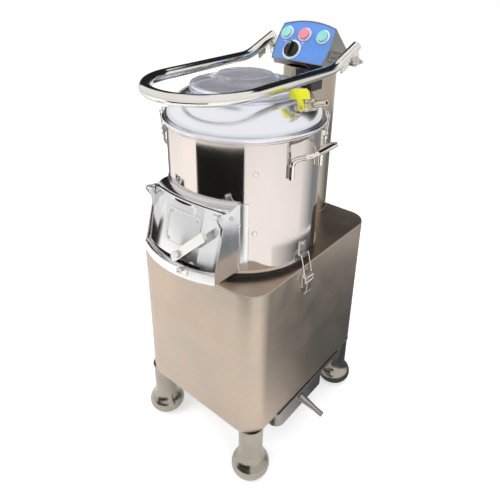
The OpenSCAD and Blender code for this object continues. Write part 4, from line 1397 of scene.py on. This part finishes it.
class Lid(SubAssembly):
    """The domed lid, its clear cover and the water valve."""

    def dress(self, shop: Workshop) -> None:
        """Gives the lid's nodes their finishes.

        Args:
            shop: Has the nodes and makes their finishes.
        """
        shop.dress(DOME, "lid_shell")
        shop.dress(CLEAR, "clear_cover")
        shop.dress(BRASS, "water_valve")
        shop.dress(YELLOW, "valve_lever")


@dataclass
class Controls(SubAssembly):
    """The column, the control head and what is on its panel.

    Attributes:
        panel_foot: Y and Z of the panel's lower edge.
        tilt: The panel's turn from level, in degrees.
        face: The panel's thickness.
        row: The buttons' height on the panel.
        buttons: Where the start and stop buttons are across it.
        words: What is printed below them.
        words_right: How far to the right of the buttons the words are.
        words_drop: How far below the buttons the words are.
        words_size: Their height.
        ink: Half their thickness.
        knob: The timer's place on the panel.
        ring: Radius of the timer's white ring.
        scale: First angle, end and step of the timer's ticks, in degrees.
        tick_gap: How far the ticks start from the ring.
        ticks: Length of every other tick, and of those between.
        tick_half: Half a tick's width.
        tick_ink: A tick's thickness.
        knob_top: The knob's height over the panel.
        line: Near and far end of the knob's line.
        line_half: Half that line's width.
        line_ink: Its thickness.
        switch_x: Where the guard switch's screws are across.
        switch_face: Their Y and Z.
        switch_screw: One of them.
        column_y: The column's axis.
        column_foot: The cabinet's top.
        column_r: The column's radius.
        weld: The bead at the column's foot.
        weld_up: How far its centre line lies above the cabinet.
        weld_out: And how far out from the column.
        weld_arc: First and last angle of it, in degrees.
    """

    panel_foot: Range = (197.5, 997.0)
    tilt: float = 57.0
    face: float = 2.5
    row: float = 70.0
    buttons: Range = (-57.0, -3.0)
    words: tuple[str, str] = ("ON", "OFF")
    words_right: float = 1.5
    words_drop: float = 22.0
    words_size: float = 6.0
    ink: float = 0.05
    knob: Range = (-26.0, 27.0)
    ring: float = 26.0
    scale: tuple[int, int, int] = (-60, 241, 30)
    tick_gap: float = 1.2
    ticks: Range = (1.6, 2.6)
    tick_half: float = 0.35
    tick_ink: float = 0.08
    knob_top: float = 17.0
    line: Range = (8.0, 16.0)
    line_half: float = 0.6
    line_ink: float = 0.15
    switch_x: Range = (27.0, 49.0)
    switch_face: Range = (177.2, 968.0)
    switch_screw: ScrewHead = ScrewHead(3.7, 2.2)
    column_y: float = 261.5
    column_foot: float = 575.0
    column_r: float = 70.0
    weld: Bead = Bead(1.6)
    weld_up: float = 1.2
    weld_out: float = 1.6
    weld_arc: Range = (143.0, 397.0)

    def print_panel(self, shop: Workshop, panel: Matrix) -> None:
        """Prints the timer's ticks and the words on the panel.

        Args:
            shop: Makes the piece.
            panel: The panel's own place.
        """
        shape = bmesh.new()
        middle = panel @ Matrix.Translation(Vector((*self.knob, self.face)) * MM)
        start = self.ring + self.tick_gap
        for index, angle in enumerate(range(*self.scale)):
            turn = middle @ Matrix.Rotation(math.radians(angle), 4, "Z")
            ends = (start, start + self.ticks[index % 2])
            strip(shape, ends, (-self.tick_half, self.tick_half), self.tick_ink, turn)
        for word, x in zip(self.words, self.buttons):
            spot = (x + self.words_right, self.row - self.words_drop, self.face + self.ink)
            place = panel @ Matrix.Translation(Vector(spot) * MM)
            lettering(shape, word, self.words_size, self.ink, place)
        shop.piece("panel_print", shape, INK, "machine", False)

    def build(self, shop: Workshop) -> None:
        """Prints the panel and adds the knob's line, the switch's screws and the column's weld.

        Args:
            shop: Takes the pieces that this makes.
        """
        panel = shop.plane(0, *self.panel_foot, self.tilt)
        self.print_panel(shop, panel)
        shape = bmesh.new()
        top = panel @ Matrix.Translation(Vector((*self.knob, self.face + self.knob_top)) * MM)
        strip(shape, (-self.line_half, self.line_half), self.line, self.line_ink, top)
        shop.piece("knob_line", shape, INK, "timer", False)
        shape = bmesh.new()
        for x in self.switch_x:
            self.switch_screw.add(shape, shop.plane(x, *self.switch_face, 90))
        shop.piece("switch_screws", shape, FITTING, "machine")
        shape = bmesh.new()
        foot = shop.at(0, self.column_y, self.column_foot + self.weld_up)
        path = ring_path(foot, self.column_r + self.weld_out, arc=self.weld_arc)
        self.weld.lay(shape, path, False)
        shop.piece("column_weld", shape, WELD, "machine")

    def dress(self, shop: Workshop) -> None:
        """Gives the controls their finishes.

        Args:
            shop: Has the nodes and makes their finishes.
        """
        shop.dress(COLUMN, "column")
        shop.dress(HEAD, "control_box")
        shop.dress(PANEL, "control_panel")
        shop.dress(WHITE, "panel_rings")
        shop.dress(GREEN, "start_button", "jog_button")
        shop.dress(RED, "stop_button")
        shop.dress(BLACK, "timer_knob", "guard_switch")
        shop.dress(SWITCH_BOX, "switch_blocks")


class GuardBar(SubAssembly):
    """The guard bar and its pivots."""

    def dress(self, shop: Workshop) -> None:
        """Gives the bar and its pivots their finishes."""
        shop.dress(BAR, "guard_bar")
        shop.dress(FITTING, "bar_pivots")


# ---------------------------------------------------------------- studio


@dataclass(frozen=True)
class Floor:
    """The pale floor; lengths in metres.

    Attributes:
        size: Half its side.
        tone: Its colour.
        roughness: Its roughness.
        gloss: How strongly it reflects.
        seen: Its own glow for the camera.
        mirrored: Its own glow in reflections and through the clear cover.
    """

    size: float = 40.0
    tone: Colour = (0.80, 0.80, 0.80)
    roughness: float = 0.9
    gloss: float = 0.1
    seen: float = 0.50
    mirrored: float = 0.30

    def material(self) -> Material:
        """Makes a dull surface that also glows a little, by what looks at it.

        Returns:
            The material.
        """
        material, graph = blank_material("pale_floor")
        shader = graph.find("BSDF_PRINCIPLED")
        shader.inputs["Base Color"].default_value = (*self.tone, 1.0)
        shader.inputs["Roughness"].default_value = self.roughness
        shader.inputs["Specular IOR Level"].default_value = self.gloss
        ray = graph.add("ShaderNodeLightPath").outputs
        mirrored = graph.calc("MAXIMUM", ray["Is Glossy Ray"], ray["Is Transmission Ray"])
        seen = graph.share(ray["Is Camera Ray"], self.seen)
        strength = graph.calc("MAXIMUM", seen, graph.share(mirrored, self.mirrored))
        glow = graph.add("ShaderNodeEmission")
        graph.feed(strength, glow.inputs["Strength"])
        both = graph.add("ShaderNodeAddShader")
        graph.feed(shader.outputs[0], both.inputs[0])
        graph.feed(glow.outputs[0], both.inputs[1])
        graph.feed(both.outputs[0], graph.find("OUTPUT_MATERIAL").inputs["Surface"])
        return material

    def build(self) -> None:
        """Lays the floor."""
        shape = bmesh.new()
        bmesh.ops.create_grid(shape, x_segments=1, y_segments=1, size=self.size)
        made = placed("studio_floor", finished("studio_floor", shape))
        made.data.materials.append(self.material())


@dataclass(frozen=True)
class Card:
    """A curved studio card that only reflections see; lengths in metres.

    Attributes:
        name: Its name.
        tone: The light it gives back.
        radius: Its distance from the drum's axis.
        first: First azimuth in degrees, counted from +X.
        last: Last azimuth.
        high: Height of its upper edge.
        low: Height of its lower edge.
        soft: Degrees over which each end fades into the room.
        reach: Outer radius of a card that lies flat, or 0 for one that stands.
        STEPS: Flat strips in it.
        HIDDEN: The rays that don't see it.
    """

    STEPS = 48
    HIDDEN = ("camera", "diffuse", "shadow", "transmission", "volume_scatter")

    name: str
    tone: Colour
    radius: float
    first: float
    last: float
    high: float
    low: float = 0.0
    soft: float = 0.0
    reach: float = 0.0

    def mesh(self, centre: Vector) -> bpy.types.Mesh:
        """Makes the card's mesh with the tone of each of its points.

        Args:
            centre: The drum's axis.

        Returns:
            The mesh.
        """
        shape = bmesh.new()
        span = self.last - self.first
        ends = ((self.radius, self.low), (self.reach or self.radius, self.high))
        rows = []
        tones = []
        for step in range(self.STEPS + 1):
            inside = min(step, self.STEPS - step) / self.STEPS * span
            fade = 1.0 - min(1.0, inside / self.soft) if self.soft else 0.0
            tones += [*(c + (1 - c) * fade for c in self.tone), 1.0] * len(ends)
            angle = math.radians(self.first + span * step / self.STEPS)
            outward = Vector((math.cos(angle), math.sin(angle), 0))
            rows.append([shape.verts.new(centre + outward * out + UP * z) for out, z in ends])
        for first, second in zip(rows, rows[1:]):
            shape.faces.new((first[0], second[0], second[1], first[1]))
        mesh = finished(self.name, shape)
        mesh.color_attributes.new("tone", "FLOAT_COLOR", "POINT").data.foreach_set("color", tones)
        return mesh

    def build(self, centre: Vector) -> None:
        """Stands the card in the studio.

        Args:
            centre: The drum's axis.
        """
        made = placed(self.name, self.mesh(centre))
        material, graph = blank_material(self.name + "_tone")
        glow = graph.add("ShaderNodeEmission")
        tone = graph.add("ShaderNodeAttribute", attribute_name="tone")
        graph.feed(tone.outputs["Color"], glow.inputs["Color"])
        graph.feed(glow.outputs[0], graph.find("OUTPUT_MATERIAL").inputs["Surface"])
        made.data.materials.append(material)
        for ray in self.HIDDEN:
            setattr(made, "visible_" + ray, False)


@dataclass(frozen=True)
class Lamp:
    """A soft square lamp that reflections don't see; lengths in metres.

    Attributes:
        name: Its name.
        place: Where it hangs.
        size: Its side.
        power: Its power in watts.
        tone: Its colour.
        AIM: What the lamps point at.
    """

    AIM = (0.0, 0.0, 0.6)

    name: str
    place: tuple[float, float, float]
    size: float
    power: float
    tone: Colour

    def build(self) -> None:
        """Hangs the lamp."""
        data = bpy.data.lights.new(self.name, "AREA")
        data.shape = "SQUARE"
        data.size = self.size
        data.energy = self.power
        data.color = self.tone
        made = placed(self.name, data)
        made.location = self.place
        made.rotation_mode = "QUATERNION"
        toward = Vector(self.AIM) - Vector(self.place)
        made.rotation_quaternion = toward.to_track_quat("-Z", "Y")
        made.visible_glossy = False


@dataclass(frozen=True)
class Camera:
    """The camera.

    Attributes:
        eye: Its place.
        turn: Its azimuth to the right of the front, in degrees.
        dip: How far it looks down, in degrees.
        roll: Its roll, in degrees.
        lens: Its focal length in millimetres.
        sensor: Its sensor's width in millimetres.
        shift: The picture's shift.
        clip: The nearest and the farthest that it sees.
    """

    eye: tuple[float, float, float] = (0.6955, -0.86775, 1.234)
    turn: float = 38.4
    dip: float = 24.4
    roll: float = 1.5
    lens: float = 35.42
    sensor: float = 36.0
    shift: Range = (-0.023, -0.14)
    clip: Range = (0.05, 200.0)

    def build(self) -> None:
        """Places the camera."""
        turn, dip, roll = (math.radians(a) for a in (self.turn, self.dip, self.roll))
        back = Vector((math.sin(turn) * math.cos(dip), -math.cos(turn) * math.cos(dip),
                       math.sin(dip)))
        right = Vector((math.cos(turn), math.sin(turn), 0.0))
        up = back.cross(right)
        across = right * math.cos(roll) + up * math.sin(roll)
        upright = up * math.cos(roll) - right * math.sin(roll)
        data = bpy.data.cameras.new("camera")
        data.lens = self.lens
        data.sensor_width = self.sensor
        data.shift_x, data.shift_y = self.shift
        data.clip_start, data.clip_end = self.clip
        made = placed("camera", data)
        made.matrix_world = Matrix((across, upright, back)).transposed().to_4x4()
        made.matrix_world.translation = self.eye
        bpy.context.scene.camera = made


@dataclass
class Studio:
    """Floor, cards, lamps, room and camera.

    Attributes:
        cards: The studio cards.
        lamps: The lamps.
        room: Strength of the room's light, and of what the camera, mirrors and clear cover see.
    """

    cards: tuple[Card, ...] = (
        Card("front_card", (0.012, 0.013, 0.012), radius=1.15, first=-117.0, last=-49.4, high=0.52),
        Card("right_card", (0.26, 0.29, 0.31), radius=1.25, first=40.0, last=120.0, high=0.60,
             soft=28.0),
        Card("left_card", (0.20, 0.22, 0.20), radius=1.30, first=136.0, last=176.0, high=0.60,
             soft=8.0),
        Card("rear_card", (0.020, 0.020, 0.022), radius=2.40, first=50.0, last=176.0, high=3.90,
             low=1.10, soft=6.0),
        Card("side_mat", (0.12, 0.135, 0.15), radius=0.22, first=-9.0, last=112.0, high=0.004,
             low=0.004, soft=45.0, reach=1.20),
        Card("lid_card", (0.26, 0.27, 0.34), radius=0.36, first=140.0, last=178.0, high=3.0,
             low=3.0, soft=9.0, reach=1.15),
        Card("door_card", (0.015, 0.015, 0.016), radius=0.50, first=205.0, last=228.0, high=0.62,
             low=0.48, soft=2.0),
    )
    lamps: tuple[Lamp, ...] = (
        Lamp("key_lamp", (-1.7, -2.2, 2.8), size=1.8, power=62.0, tone=(1.0, 0.98, 0.95)),
        Lamp("fill_lamp", (2.6, -0.8, 2.2), size=1.6, power=24.0, tone=(0.95, 0.97, 1.0)),
        Lamp("top_lamp", (0.1, 0.4, 3.4), size=2.0, power=30.0, tone=(0.97, 0.98, 1.0)),
    )
    room: Range = (0.62, 1.0)

    def world(self) -> None:
        """Fills the room with soft light; what can be seen of it is white."""
        world = bpy.data.worlds.new("studio_room")
        bpy.context.scene.world = world
        world.use_nodes = True
        graph = Graph(world.node_tree)
        sky = graph.find("BACKGROUND")
        ray = graph.add("ShaderNodeLightPath").outputs
        seen = graph.calc("MAXIMUM", ray["Is Camera Ray"], ray["Is Glossy Ray"])
        seen = graph.calc("MAXIMUM", seen, ray["Is Transmission Ray"])
        graph.feed(graph.remap(seen, FULL, self.room), sky.inputs["Strength"])
        sky.inputs["Color"].default_value = (1.0, 1.0, 1.0, 1.0)

    def build(self, shop: Workshop) -> None:
        """Sets the whole studio.

        Args:
            shop: Knows where the drum's axis is.
        """
        Floor().build()
        for card in self.cards:
            card.build(shop.axis)
        for lamp in self.lamps:
            lamp.build()
        self.world()
        Camera().build()
        bpy.context.scene.view_settings.view_transform = "Standard"


def corners(box: tuple[Vector, Vector]) -> list[list[float]]:
    """Turns a box into plain lists of numbers."""
    return [[float(x) for x in corner] for corner in box]


def main() -> None:
    """Builds the machine's looks in order."""
    logging.basicConfig(level=logging.INFO, format="%(name)s: %(message)s")
    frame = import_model()
    shop = Workshop(frame)
    for part in (Cabinet(), WasteTray(), Drum(), Outlet(), Latches(), Lid(), Controls(),
                 GuardBar()):
        part.build(shop)
        part.dress(shop)
    Studio().build(shop)


if __name__ == "__main__":
    main()
